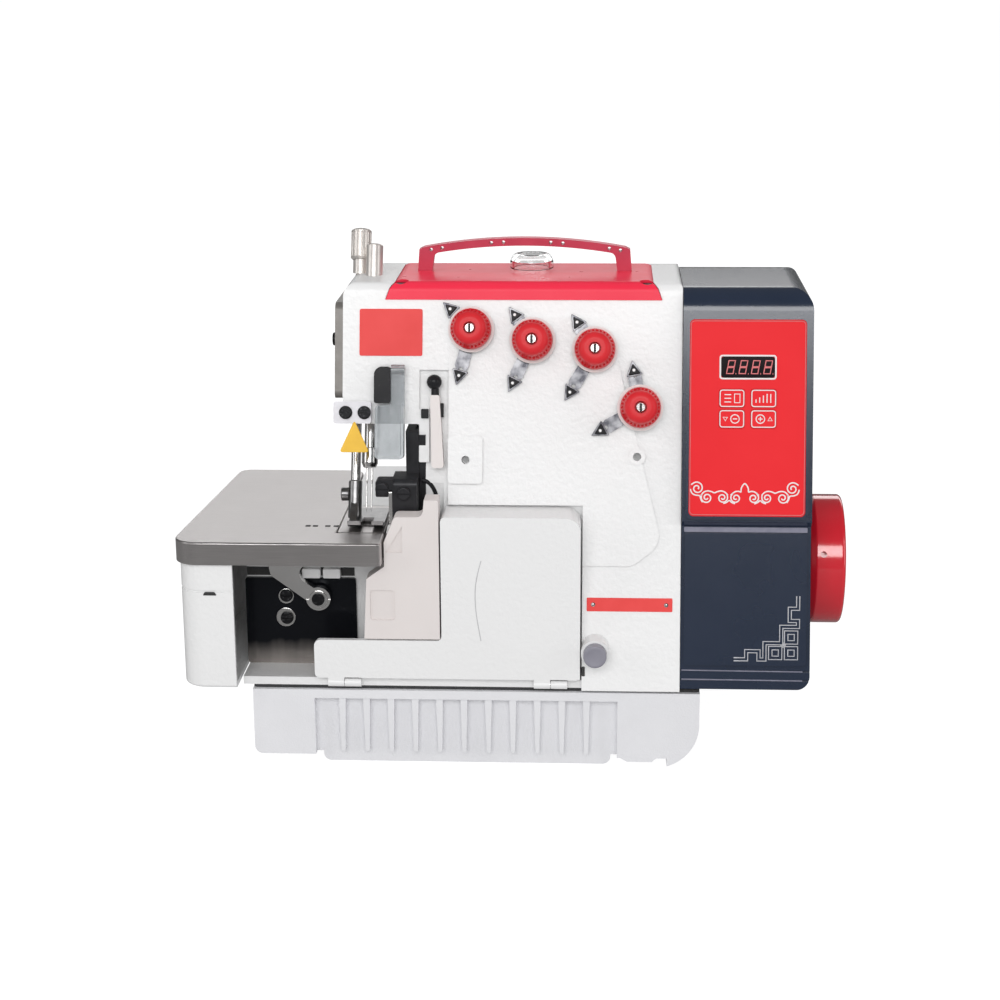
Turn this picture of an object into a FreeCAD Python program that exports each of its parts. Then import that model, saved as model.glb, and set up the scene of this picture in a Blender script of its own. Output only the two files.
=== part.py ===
import FreeCAD, Part
import math
import os

# Overlock sewing machine head with a motor built on to its right end.
# Millimetres. X runs to the operator's right, Y to the back, Z up.
# While modelling, Y counts from the front of the bed and Z from the casting's foot;
# every piece is moved to the middle of the footprint when it is written.

# Casting
FACE_LEAN = 14.0
CASTING_HEIGHT = 240.0
CASTING_BACK = 175.0
COLUMN_LEFT = -54.0
COLUMN_RIGHT = 101.5
ARM_LEFT = -105.0
ARM_UNDER = 157.0
ARM_BACK = 150.0
BED_LEFT = -166.0
BED_FRONT = 32.0
BED_TOP = 77.0
FLANGE = 5.0
FLANGE_FRONT = 5.0
WALL = 8.0
CROWN_ROUND = 7.0
BACK_ROUND = 40.0
ARM_CORNER_ROUND = 8.0
UNDER_ROUND = 6.0
CRANKCASE_ROOF = 7.0
PLATEAU_LEFT = -40.0
PLATEAU_DROP = 20.0
PLATEAU_RISE = 2.0
FIT = 0.3

# Oil pan and gasket
PAN_HEIGHT = 49.0
GASKET = 2.0
PAN_LEFT = -160.0
PAN_RIGHT = 114.0
PAN_FRONT = 2.0
PAN_BACK = 172.0
PAN_WALL = 5.0
PAN_RIM = 5.6
PAN_STEP = 6.5
WELL_LEFT = -118.0
WELL_RIGHT = 60.0
WELL_SETBACK = 6.0
PAN_END_ROUND = 28.0
PAN_HOOK = 19.5
PAN_TOE = 2.4
RIB_COUNT = 11
RIB_PITCH = 15.0
RIB_FIRST_X = -105.0
RIB_WIDE = 4.2
RIB_NARROW = 2.4
DRAIN_X = 78.0
DRAIN_Y = 20.0
DRAIN_RADIUS = 4.5
DRAIN_LIFT = 0.5
DRAIN_HEAD = 3.0

# Cloth plate, side cover and their hinge
PLATE_TOP = 95.0
PLATE_SKIRT = 14.0
PLATE_SHEET = 3.0
PLATE_LEFT = -205.0
PLATE_FRONT = -10.0
PLATE_BACK = 164.0
PLATE_TAPER = 14.0
PLATE_TONGUE_RIGHT = -78.0
PLATE_CORNER_ROUND = 15.0
NEEDLE_PLATE_LEFT = -106.5
NEEDLE_PLATE_FRONT = 14.5
NEEDLE_PLATE_BACK = 75.0
NEEDLE_PLATE_THICK = 4.0
PLATE_GAP = 0.6
SIDE_COVER_RIGHT = -168.0
SIDE_COVER_BACK = 138.0
SIDE_COVER_FOOT = 2.0
SIDE_COVER_WALL = 3.0
HINGE_X = -178.0
HINGE_Y = 150.0
HINGE_PIN_RADIUS = 4.0
HINGE_BARREL_RADIUS = 9.0
HINGE_LUG = 16.0
RUN_FIT = 0.05

# Front cover
COVER_LEFT = -43.0
COVER_RIGHT = 41.0
COVER_TOP = 109.0
LIP_LEFT = -121.0
LIP_TOP = 31.0
COVER_FOOT = 4.0
COVER_WALL = 3.5
COVER_DEPTH = 25.5
COVER_CORNER_ROUND = 9.0
POCKET_DEPTH = 28.0
COVER_AXIS_Y = 2.0
COVER_AXIS_Z = 3.0
KNUCKLE_RADIUS = 2.6
KNUCKLE_LENGTH = 10.0
COVER_PIN_RADIUS = 1.2

# Chip chute, looper chamber and loopers
CHUTE_LEFT = -90.0
CHUTE_RIGHT = -44.0
CHUTE_FOOT = 32.0
CHUTE_TOP = 119.5
CHUTE_SHOULDER = 10.5
CHUTE_DEPTH = 14.0
CHUTE_WALL = 3.0
CHUTE_SEAT = 34.0
CHUTE_BOSS_RADIUS = 4.0
CHAMBER_PLATE_RIGHT = -98.0
CHAMBER_PLATE_TOP = 61.0
CHAMBER_PLATE = 2.5
LOWER_LOOPER_X = -120.7
LOWER_LOOPER_Z = 49.8
UPPER_LOOPER_X = -64.0
UPPER_LOOPER_Z = 38.0
LOOPER_SHAFT_RADIUS = 5.0
LOOPER_SHAFT_END = 60.0
LOWER_LOOPER_FRONT = 22.0
LOWER_LOOPER_THICK = 5.0
UPPER_LOOPER_FRONT = 14.6
UPPER_LOOPER_THICK = 2.8

# Needle, presser, feed and knives
BAR_TILT = 23.0
NEEDLE_X = -89.5
NEEDLE_Y = 30.0
NEEDLE_BAR_RADIUS = 3.6
NEEDLE_RISE = 8.0
NEEDLE_LENGTH = 32.0
NEEDLE_RADIUS = 0.7
NEEDLE_SPACING = 3.0
CLAMP_RADIUS = 5.0
CLAMP_LENGTH = 12.0
CLAMP_LAP = 4.0
CAP_WALL = 1.55
CAP_RISE = 19.0
CAP_ROOF = 1.5
CAP_ROOM = 0.5
CAP_SKIRT = 4.0
PRESSER_X = -99.0
PRESSER_Y = 39.0
PRESSER_BAR_RADIUS = 3.0
PRESSER_SPRING_ROOM = 18.0
FOOT_LEFT = -101.0
FOOT_RIGHT = -79.0
FOOT_FRONT = 18.0
FOOT_BACK = 56.0
FOOT_SOLE = 2.5
FOOT_SHANK_RADIUS = 4.2
FOOT_SHANK_LENGTH = 24.0
SCREW_HEAD_RADIUS = 6.4
SCREW_HEAD_LENGTH = 19.5
SCREW_SHANK_LENGTH = 30.0
LOCK_NUT = 6.0
LOCK_NUT_COLLAR = 1.5
FEED_FRONT = 38.0
FEED_BACK = 58.0
FEED_WIDTH = 16.0
FEED_ROW = 3.0
FEED_TOOTH_PITCH = 2.5
FEED_TOOTH_RISE = 1.0
FEED_TRAVEL = 2.0
FEED_TAIL_RADIUS = 5.0
KNIFE_THICK = 2.0
KNIFE_FRONT = 18.0
LOWER_KNIFE_LENGTH = 35.0
UPPER_KNIFE_RISE = 1.5
UPPER_KNIFE_LENGTH = 24.0
KNIFE_LUG = 8.0
KNIFE_LUG_HEIGHT = 10.5
KNIFE_LUG_DEPTH = 9.0
KNIFE_GUIDE = 4.0
KNIFE_GUIDE_FRONT = 36.0
KNIFE_GUIDE_BACK = 60.0
DOVETAIL_FRONT = 42.5
DOVETAIL_BACK = 53.5
DOVETAIL_DEPTH = 2.5
DOVETAIL_FLARE = 1.5
SLIDE_FIT = 0.15

# Top cover, handle and oil sight
LID_LEFT = -79.0
LID_RIGHT = 89.0
LID_DROP = 9.5
LID_BACK = 134.0
LID_WALL = 3.0
LID_PROUD = 0.8
LID_CORNER_ROUND = 8.0
LID_SCREW_INSET = 9.0
LID_SCREW_BACK = 5.0
LID_SCREW_DEPTH = 4.0
LID_SCREW_ROOM = 0.7
HANDLE_LEFT = -63.0
HANDLE_RIGHT = 71.0
HANDLE_Y = 107.0
HANDLE_DEPTH = 8.0
HANDLE_BAR = 4.8
HANDLE_SHOULDER = 14.8
HANDLE_APEX = 20.6
HANDLE_LEG = 9.0
HANDLE_INNER_ROUND = 4.0
THREAD_HOLE_RADIUS = 1.1
SIGHT_X = 8.0
SIGHT_Y = 117.0
SIGHT_RADIUS = 13.7
SIGHT_RISE = 9.0

# Tension stacks, two accessory bosses and the stitch button
# Each stack stands at an X and a drop below the casting's top
TENSION_DROPS = [(-26.1, 27.4), (11.0, 33.7), (48.7, 38.9), (76.2, 72.8)]
TENSION_ARMS = [[(-13.0, 12.0), (-7.5, -27.0)], [(-11.0, 15.0), (-12.0, -25.0)],
                [(-11.0, 16.0), (-15.0, -25.0)], [(-4.0, 22.0), (-24.0, -13.5)]]
TENSION_BOSS_RADIUS = 8.0
TENSION_BOSS_RISE = 2.5
BRACKET_THICK = 1.5
BRACKET_WIDTH = 7.0
BRACKET_FLARE = 1.2
POST_RADIUS = 2.5
POST_LENGTH = 22.0
POST_ROOT = 7.0
DISC_RADIUS = 14.0
DISC_THICK = 4.0
KNOB_RADIUS = 12.3
KNOB_LENGTH = 17.0
KNOB_RIM = 6.0
KNOB_NOSE_RADIUS = 8.8
KNOB_EYE_RADIUS = 3.7
KNOB_EYE_DEPTH = 4.0
KNOB_FLUTES = 30
KNOB_FLUTE_RADIUS = 0.7
BOSS_LEFT_X = -29.3
BOSS_LEFT_Z = 136.0
BOSS_LEFT_WIDTH = 21.0
BOSS_LEFT_HEIGHT = 28.0
BOSS_RIGHT_X = 74.6
BOSS_RIGHT_Z = 138.4
BOSS_RIGHT_RADIUS = 5.0
BOSS_RISE = 5.0
ACCESSORY_HOLE_RADIUS = 2.5
ACCESSORY_HOLE_DEPTH = 10.0
BUTTON_X = 50.1
BUTTON_Z = 25.5
BUTTON_RADIUS = 7.0
BUTTON_BOSS_WALL = 1.5
BUTTON_BOSS_FRONT = -5.0
BUTTON_LENGTH = 16.0
BUTTON_TRAVEL = 4.0
BUTTON_PROUD = 6.0

# Guards and oil cup on the arm
FACE_PLATE_THICK = 5.0
FACE_SCREW_Y = 62.0
FACE_SCREW_DROP = 35.0
GUARD_BRACKET_LEFT = -110.0
GUARD_BRACKET_RIGHT = -87.0
GUARD_BRACKET_HEIGHT = 13.0
GUARD_BRACKET_THICK = 5.0
EYE_BLOCK_LEFT = -85.0
EYE_BLOCK_RIGHT = -75.0
EYE_BLOCK_FOOT = 169.0
EYE_BLOCK_HEIGHT = 21.5
EYE_BLOCK_THICK = 8.0
EYE_GUARD_RIGHT = -66.5
EYE_GUARD_LEFT = -84.0
EYE_GUARD_FOOT = 136.0
EYE_GUARD_NECK = 168.0
EYE_GUARD_THICK = 3.0
EYE_GUARD_RIM = 1.8
EYE_GUARD_LEDGE = 5.0
EYE_PIN_RADIUS = 1.6
EYE_KNUCKLE_RADIUS = 3.4
CUP_NICHE_DEPTH = 3.0
CUP_FOOT = 131.0
CUP_HEIGHT = 43.0
CUP_THICK = 8.0
CUP_BALL_RADIUS = 4.6

# Shaft, motor, housing and handwheel
SHAFT_Y = 88.0
SHAFT_Z = 59.0
SHAFT_RADIUS = 9.0
SHAFT_LEFT = -58.0
BEARING_RADIUS = 16.0
ECCENTRIC_RADIUS = 20.0
ECCENTRIC_THROW = 6.0
ECCENTRIC_WIDTH = 10.0
ECCENTRIC_PLACES = [-30.0, 5.0, 40.0]
STATOR_RADIUS = 34.0
STATOR_BORE = 22.0
STATOR_LEFT = 104.0
STATOR_RIGHT = 150.0
SPIGOT_LENGTH = 12.0
SPIGOT_WALL = 3.0
ROTOR_GAP = 0.6
HOUSING_RIGHT = 180.0
HOUSING_FOOT = 2.0
HOUSING_TOP = 237.5
HOUSING_BACK = 178.0
HOUSING_WALL = 3.2
HOUSING_BROW = 5.0
HOUSING_BROW_FOOT = 98.0
HOUSING_CROWN_ROUND = 16.0
HOUSING_BACK_ROUND = 40.0
HOUSING_SIDE_ROUND = 12.0
APRON_FOOT = 16.0
VENT_COUNT = 6
VENT_FOOT = 136.0
VENT_PITCH = 9.0
VENT_HEIGHT = 4.0
VENT_INSET = 18.0
PANEL_LEFT = 105.7
PANEL_RIGHT = 175.7
PANEL_FOOT = 104.0
PANEL_TOP = 219.0
PANEL_THICK = 3.0
BEZEL = 2.0
BOARD_GAP = 9.0
BOARD_THICK = 1.6
POST_INSET = 8.0
POST_RISE = 30.0
POST_DROP = 20.0
BOARD_POST_RADIUS = 3.0
DISPLAY_WIDTH = 32.0
DISPLAY_HEIGHT = 12.2
DISPLAY_Z = 191.2
KEY_WIDTH = 15.0
KEY_HEIGHT = 10.5
KEY_PITCH_X = 19.0
KEY_PITCH_Z = 12.0
KEY_TOP_Z = 173.0
KEY_THICK = 1.8
KEY_TRAVEL = 0.6
KEY_PROUD = 0.4
WHEEL_LEFT = 183.0
WHEEL_RIGHT = 205.0
WHEEL_RADIUS = 41.0
WHEEL_RIM = 6.0
WHEEL_HUB_RADIUS = 17.0
WHEEL_DISH = 8.0

# Rear cover and screws
REAR_COVER_THICK = 4.0
REAR_COVER_FOOT = 12.0
REAR_COVER_MARGIN = 2.0
REAR_SCREW_INSET = 8.0
REAR_PANEL_INSET = 28.0
REAR_WINDOW_LAP = 14.0
REAR_SCREW_PLACES = [-36.0, 24.0, 84.0]
SCREW_RADIUS = 4.0
SCREW_HEAD = 2.4
SCREW_STEM_RADIUS = 2.0
SCREW_STEM = 9.0

# Worked-out places
V = FreeCAD.Vector
LEAN = math.radians(FACE_LEAN)
FACE_OUT = V(0, -math.cos(LEAN), math.sin(LEAN))
FACE_UP = V(0, math.sin(LEAN), math.cos(LEAN))
BAR_UP = V(0, math.sin(math.radians(BAR_TILT)), math.cos(math.radians(BAR_TILT)))
BACK_REACH = CASTING_BACK + REAR_COVER_THICK + SCREW_HEAD
FRONT_REACH = min(PLATE_FRONT, BUTTON_BOSS_FRONT - BUTTON_PROUD)
PLATE_SLOPE = PLATE_TAPER / (PLATE_BACK - PLATE_FRONT)
LEFT_REACH = PLATE_LEFT + PLATE_CORNER_ROUND * (PLATE_SLOPE + math.hypot(1, PLATE_SLOPE) - 1)
TO_FOOTPRINT = V(-(LEFT_REACH + WHEEL_RIGHT) / 2, -(FRONT_REACH + BACK_REACH) / 2, PAN_HEIGHT + GASKET)
POCKET_RIGHT = COVER_RIGHT + 1.0
POCKET_TOP = COVER_TOP + 1.0
CRANKCASE_RIGHT = LID_RIGHT - 6.0
CRANKCASE_LEFT = COLUMN_LEFT + WALL
LID_FOOT = CASTING_HEIGHT - LID_DROP
LID_TOP = CASTING_HEIGHT + LID_PROUD
PLATEAU_TOP = CASTING_HEIGHT - PLATEAU_DROP
TENSION_PLACES = [(x, CASTING_HEIGHT - drop) for x, drop in TENSION_DROPS]
REAR_COVER_TOP = CASTING_HEIGHT - BACK_ROUND - REAR_COVER_MARGIN
SKIRT_FOOT = PLATE_TOP - PLATE_SKIRT
NEEDLE_PLATE_RIGHT = PLATE_TONGUE_RIGHT - 0.2
RAISED_LEFT = NEEDLE_PLATE_LEFT + 0.5
LOWER_KNIFE_LEFT = NEEDLE_PLATE_RIGHT + PLATE_GAP
LOWER_KNIFE_RIGHT = LOWER_KNIFE_LEFT + KNIFE_THICK
UPPER_KNIFE_LEFT = LOWER_KNIFE_RIGHT + FIT
UPPER_KNIFE_RIGHT = UPPER_KNIFE_LEFT + KNIFE_THICK
UPPER_KNIFE_TOP = PLATE_TOP + UPPER_KNIFE_RISE + UPPER_KNIFE_LENGTH
DISC_SEAT = TENSION_BOSS_RISE + BRACKET_THICK
KNOB_SEAT = DISC_SEAT + DISC_THICK + FIT
PANEL_SEAT = HOUSING_BROW - PANEL_THICK + BEZEL / 2
PANEL_FACE = PANEL_SEAT + PANEL_THICK
PANEL_MID = (PANEL_LEFT + PANEL_RIGHT) / 2
CUP_TOP = CUP_FOOT + CUP_HEIGHT
EYE_AXIS_Z = EYE_BLOCK_FOOT + EYE_BLOCK_HEIGHT - 2.0
EYE_AXIS_OUT = EYE_BLOCK_THICK - 3.0
SOLE_FOOT = PLATE_TOP + FEED_TOOTH_RISE + FIT


def face_y(z):
    """Depth of the leaning front face at a height above the casting's foot."""
    return z * math.tan(LEAN)


def face_point(x, z, out=0.0):
    """A point on the leaning face, or stood off it along its normal."""
    return V(x, face_y(z), z) + FACE_OUT * out


def bar_point(x, y, along):
    """A point on a tilted bar axis that crosses the cloth plate's level at (x, y)."""
    return V(x, y, PLATE_TOP) + BAR_UP * along


def wire_through(corners, lift):
    """Closed wire through (a, b) or (a, b, radius) corners; lift places (a, b) in space."""
    starts, middles, ends = [], [], []
    for i, corner in enumerate(corners):
        point = V(corner[0], corner[1], 0)
        radius = corner[2] if len(corner) > 2 else 0
        if not radius:
            starts.append(point)
            middles.append(None)
            ends.append(point)
            continue
        before = corners[i - 1]
        after = corners[(i + 1) % len(corners)]
        back = (V(before[0], before[1], 0) - point).normalize()
        on = (V(after[0], after[1], 0) - point).normalize()
        half = back.getAngle(on) / 2
        inward = (back + on).normalize()
        starts.append(point + back * (radius / math.tan(half)))
        middles.append(point + inward * (radius / math.sin(half) - radius))
        ends.append(point + on * (radius / math.tan(half)))
    edges = []
    for i, middle in enumerate(middles):
        if middle is not None:
            places = [lift(p.x, p.y) for p in (starts[i], middle, ends[i])]
            edges.append(Part.Arc(*places).toShape())
        onward = starts[(i + 1) % len(corners)]
        if onward.distanceToPoint(ends[i]) > 1e-6:
            edges.append(Part.LineSegment(lift(ends[i].x, ends[i].y), lift(onward.x, onward.y)).toShape())
    return Part.Wire(edges)


def along_x(corners, left, right):
    """Prism of a (y, z) outline between two X planes."""
    return Part.Face(wire_through(corners, lambda y, z: V(left, y, z))).extrude(V(right - left, 0, 0))


def along_y(corners, front, back):
    """Prism of an (x, z) outline between two Y planes."""
    return Part.Face(wire_through(corners, lambda x, z: V(x, front, z))).extrude(V(0, back - front, 0))


def along_z(corners, low, high):
    """Prism of an (x, y) outline between two Z planes."""
    return Part.Face(wire_through(corners, lambda x, y: V(x, y, low))).extrude(V(0, 0, high - low))


def off_face(corners, inner, outer):
    """Prism of an (x, z) outline drawn on the leaning face, between two stand-offs."""
    flat = [(c[0], c[1] / math.cos(LEAN)) + tuple(c[2:]) for c in corners]
    origin = FACE_OUT * inner
    wire = wire_through(flat, lambda x, up: V(x, 0, 0) + FACE_UP * up + origin)
    return Part.Face(wire).extrude(FACE_OUT * (outer - inner))


def rectangle(a0, a1, b0, b1, radius=0.0):
    """Corners of an upright rectangle with rounded corners."""
    return [(a0, b0, radius), (a1, b0, radius), (a1, b1, radius), (a0, b1, radius)]


def block(x0, x1, y0, y1, z0, z1):
    return Part.makeBox(x1 - x0, y1 - y0, z1 - z0, V(x0, y0, z0))


def rod(start, axis, radius, length):
    return Part.makeCylinder(radius, length, start, axis)


def face_rod(x, z, radius, inner, outer):
    """Round bar square to the leaning face."""
    return rod(face_point(x, z, inner), FACE_OUT, radius, outer - inner)


def turned(corners, base, axis):
    """Solid of revolution of an (r, along) outline about an axis from base."""
    face = Part.Face(wire_through(corners, lambda r, along: V(r, 0, along)))
    solid = face.revolve(V(0, 0, 0), V(0, 0, 1), 360)
    solid.Placement = FreeCAD.Placement(base, FreeCAD.Rotation(V(0, 0, 1), axis))
    return solid


def write(node, *shapes):
    """Move the solids to the footprint's middle and write them as one node."""
    solids = [solid for shape in shapes for solid in shape.Solids]
    placed = [solid.translated(TO_FOOTPRINT) for solid in solids]
    result = placed[0] if len(placed) == 1 else Part.makeCompound(placed)
    result.exportStep("parts/" + node + ".step")


# Slotted screws: one size, used at every cover

def lid_screw_seats():
    """Floors of the two recesses at the top cover's front corners."""
    y = face_y(LID_TOP) + LID_SCREW_BACK
    sides = (LID_LEFT + LID_SCREW_INSET, LID_RIGHT - LID_SCREW_INSET)
    return [V(x, y, LID_TOP - LID_SCREW_DEPTH) for x in sides]


def screw_places():
    """Base point under the head and outward axis of every cover screw."""
    places = []
    for x in REAR_SCREW_PLACES:
        for z in (REAR_COVER_FOOT + REAR_SCREW_INSET, REAR_COVER_TOP - REAR_SCREW_INSET):
            places.append((V(x, CASTING_BACK + REAR_COVER_THICK, z), V(0, 1, 0)))
    for z in (LOWER_LOOPER_Z, LOWER_LOOPER_Z - 14.5):
        places.append((V(-141.5, BED_FRONT - CHAMBER_PLATE, z), V(0, -1, 0)))
    for x in (ARM_LEFT + 2.6, ARM_LEFT + 14.0):
        z = ARM_UNDER + GUARD_BRACKET_HEIGHT / 2
        places.append((face_point(x, z, GUARD_BRACKET_THICK), FACE_OUT))
    for seat in lid_screw_seats():
        places.append((seat, V(0, 0, 1)))
    face_screw = V(ARM_LEFT - FACE_PLATE_THICK, FACE_SCREW_Y, CASTING_HEIGHT - FACE_SCREW_DROP)
    places.append((face_screw, V(-1, 0, 0)))
    return places


def screw_head(base, axis):
    profile = [(0, 0), (SCREW_RADIUS, 0), (SCREW_RADIUS, SCREW_HEAD, 0.8), (0, SCREW_HEAD)]
    slot = Part.makeBox(2 * SCREW_RADIUS, 1.0, 1.0, V(-SCREW_RADIUS, -0.5, SCREW_HEAD - 1.0))
    slot.Placement = FreeCAD.Placement(base, FreeCAD.Rotation(V(0, 0, 1), axis))
    return turned(profile, base, axis).cut(slot)


def screw(base, axis):
    stem = rod(base - axis * SCREW_STEM, axis, SCREW_STEM_RADIUS, SCREW_STEM)
    return screw_head(base, axis).fuse(stem).removeSplitter()


def drilled(shape):
    """Cut the stem hole of every cover screw that reaches this piece."""
    tools = []
    for base, axis in screw_places():
        hole = rod(base - axis * SCREW_STEM, axis, SCREW_STEM_RADIUS, SCREW_STEM)
        if shape.BoundBox.intersect(hole.BoundBox):
            tools.append(hole)
    return shape.cut(tools)


# Casting

def lid_outline(grow):
    """Front outline of the top cover, grown by a clearance."""
    return [(LID_LEFT - grow, LID_FOOT), (LID_LEFT + 4.0 - grow, LID_TOP + grow, LID_CORNER_ROUND),
            (LID_RIGHT - 4.0 + grow, LID_TOP + grow, LID_CORNER_ROUND), (LID_RIGHT + grow, LID_FOOT)]


def lid_block(grow, inset):
    """Outer block of the top cover; inset shrinks it on all closed sides."""
    top = LID_TOP - inset
    front = LID_PROUD - inset
    slant = front / math.cos(LEAN)
    side = [(face_y(LID_FOOT) - slant, LID_FOOT), (face_y(top) - slant, top, CROWN_ROUND),
            (LID_BACK + grow - inset, top), (LID_BACK + grow - inset, LID_FOOT)]
    return along_x(side, LID_LEFT - 1, LID_RIGHT + 1).common(
        along_y(lid_outline(grow - inset), 0, CASTING_BACK))


def tension_boss(x, z):
    return face_rod(x, z, TENSION_BOSS_RADIUS, -1.0, TENSION_BOSS_RISE)


def main_casting():
    crown = face_y(CASTING_HEIGHT)
    side = [(0, 0), (crown, CASTING_HEIGHT, CROWN_ROUND),
            (CASTING_BACK, CASTING_HEIGHT, BACK_ROUND), (CASTING_BACK, 0)]
    front = [(ARM_LEFT, ARM_UNDER, 3.0), (ARM_LEFT, CASTING_HEIGHT, ARM_CORNER_ROUND),
             (COLUMN_RIGHT, CASTING_HEIGHT, 3.0), (COLUMN_RIGHT, 0), (COLUMN_LEFT, 0),
             (COLUMN_LEFT, ARM_UNDER, UNDER_ROUND)]
    body = along_x(side, ARM_LEFT, COLUMN_RIGHT).common(along_y(front, 0, CASTING_BACK))
    body = body.cut(block(ARM_LEFT, COLUMN_LEFT, ARM_BACK, CASTING_BACK, ARM_UNDER, CASTING_HEIGHT))

    plateau = off_face([(PLATEAU_LEFT, PLATEAU_TOP, 4.0), (56.0, PLATEAU_TOP, 16.0), (90.0, 87.0, 14.0),
                        (72.0, 74.0, 10.0), (PLATEAU_LEFT, 74.0)], -1.0, PLATEAU_RISE)
    boss_left = off_face(rectangle(PLATEAU_LEFT, PLATEAU_LEFT + BOSS_LEFT_WIDTH,
                                   BOSS_LEFT_Z - BOSS_LEFT_HEIGHT / 2,
                                   BOSS_LEFT_Z + BOSS_LEFT_HEIGHT / 2, 2.5), -1.0, BOSS_RISE)
    boss_right = face_rod(BOSS_RIGHT_X, BOSS_RIGHT_Z, BOSS_RIGHT_RADIUS, -1.0, PLATEAU_RISE + 1.0)
    bosses = [tension_boss(x, z) for x, z in TENSION_PLACES]
    button_boss = rod(V(BUTTON_X, BUTTON_BOSS_FRONT, BUTTON_Z), V(0, 1, 0),
                      BUTTON_RADIUS + BUTTON_BOSS_WALL, POCKET_DEPTH - BUTTON_BOSS_FRONT)
    bed = block(BED_LEFT, COLUMN_LEFT, BED_FRONT, CASTING_BACK, 0, BED_TOP)
    raised = block(RAISED_LEFT, COLUMN_LEFT, NEEDLE_PLATE_BACK, CASTING_BACK, BED_TOP, PLATE_TOP)
    cheek = block(NEEDLE_PLATE_RIGHT + PLATE_GAP, COLUMN_LEFT, KNIFE_GUIDE_BACK, NEEDLE_PLATE_BACK,
                  BED_TOP, PLATE_TOP)
    ledge = block(RAISED_LEFT, COLUMN_LEFT, NEEDLE_PLATE_BACK - 9.0, NEEDLE_PLATE_BACK,
                  BED_TOP, PLATE_TOP - NEEDLE_PLATE_THICK)
    knife_post = block(LOWER_KNIFE_RIGHT, LOWER_KNIFE_RIGHT + 12.0, KNIFE_FRONT + 6.0, BED_FRONT,
                       BED_TOP - 28.0, BED_TOP)
    flange = block(BED_LEFT, COLUMN_RIGHT, FLANGE_FRONT, CASTING_BACK, 0, FLANGE)
    body = body.fuse([plateau, boss_left, boss_right, button_boss, bed, raised, cheek, ledge,
                      knife_post, flange] + bosses)

    hollow_front = POCKET_DEPTH + WALL
    lean_wall = WALL / math.cos(LEAN)
    roof = CASTING_HEIGHT - CRANKCASE_ROOF
    crankcase = along_x([(hollow_front, -1), (hollow_front, (hollow_front - lean_wall) / math.tan(LEAN)),
                         (face_y(roof) + lean_wall, roof), (CASTING_BACK - WALL, roof, BACK_ROUND - WALL),
                         (CASTING_BACK - WALL, -1)], CRANKCASE_LEFT, CRANKCASE_RIGHT)
    bed_hollow = block(BED_LEFT + WALL, COLUMN_LEFT, BED_FRONT + WALL, CASTING_BACK - WALL,
                       -1, BED_TOP - WALL)
    arm_floor = ARM_UNDER + 14.0
    arm_roof = LID_FOOT - 6.0
    arm_hollow = along_x([(face_y(arm_floor) + 6.0, arm_floor), (face_y(arm_roof) + 6.0, arm_roof),
                          (ARM_BACK - WALL, arm_roof), (ARM_BACK - WALL, arm_floor)],
                         NEEDLE_X - NEEDLE_BAR_RADIUS - 1.5, CRANKCASE_LEFT + 1)
    pocket = block(COLUMN_LEFT - 1, POCKET_RIGHT, -1, POCKET_DEPTH, FLANGE, POCKET_TOP)
    pocket_foot = block(COLUMN_LEFT - 1, POCKET_RIGHT, -1, FLANGE_FRONT, -1, FLANGE + 1)
    chute_niche = block(COLUMN_LEFT - 1, CHUTE_RIGHT + 1, -1, CHUTE_SEAT, FLANGE, CHUTE_TOP + 2)
    cup_niche = off_face(rectangle(COLUMN_LEFT - 4, PLATEAU_LEFT, POCKET_TOP - 2, 189.0),
                         -CUP_NICHE_DEPTH, BOSS_RISE)
    feed_window = block(NEEDLE_X - 20, NEEDLE_X + 17, BED_FRONT, NEEDLE_PLATE_BACK - 9.0,
                        BED_TOP - WALL - 1, BED_TOP + 1)
    rear_window = along_y(rectangle(CRANKCASE_LEFT + 6, CRANKCASE_RIGHT - 6,
                                    REAR_COVER_FOOT + REAR_WINDOW_LAP, REAR_COVER_TOP - REAR_WINDOW_LAP, 8.0),
                          CASTING_BACK - WALL - 1, CASTING_BACK + 1)
    needle_bore = rod(bar_point(NEEDLE_X, NEEDLE_Y, 30), BAR_UP, NEEDLE_BAR_RADIUS + RUN_FIT, 200)
    presser_bore = rod(bar_point(PRESSER_X, PRESSER_Y, 30), BAR_UP, PRESSER_BAR_RADIUS + RUN_FIT, 200)
    shaft_bore = rod(V(COLUMN_LEFT - 1, SHAFT_Y, SHAFT_Z), V(1, 0, 0), BEARING_RADIUS,
                     COLUMN_RIGHT - COLUMN_LEFT + 2)
    looper_bores = [rod(V(x, BED_FRONT - 1, z), V(0, 1, 0), LOOPER_SHAFT_RADIUS + RUN_FIT, WALL + 2)
                    for x, z in ((LOWER_LOOPER_X, LOWER_LOOPER_Z), (UPPER_LOOPER_X, UPPER_LOOPER_Z))]
    feed_bore = rod(V(NEEDLE_X, CASTING_BACK - WALL - 1, SHAFT_Z - 4), V(0, 1, 0),
                    FEED_TAIL_RADIUS + RUN_FIT, WALL + 2)
    post_bores = [face_rod(x, z, POST_RADIUS, -POST_ROOT, TENSION_BOSS_RISE) for x, z in TENSION_PLACES]
    accessory_bores = [
        face_rod(BOSS_LEFT_X, BOSS_LEFT_Z, ACCESSORY_HOLE_RADIUS, BOSS_RISE - ACCESSORY_HOLE_DEPTH,
                 BOSS_RISE),
        face_rod(BOSS_RIGHT_X, BOSS_RIGHT_Z, ACCESSORY_HOLE_RADIUS,
                 PLATEAU_RISE + 1.0 - ACCESSORY_HOLE_DEPTH, PLATEAU_RISE + 1.0)]
    button_bore = rod(V(BUTTON_X, BUTTON_BOSS_FRONT, BUTTON_Z), V(0, 1, 0), BUTTON_RADIUS + RUN_FIT,
                      BUTTON_LENGTH - BUTTON_PROUD + BUTTON_TRAVEL + 2.0)
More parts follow.
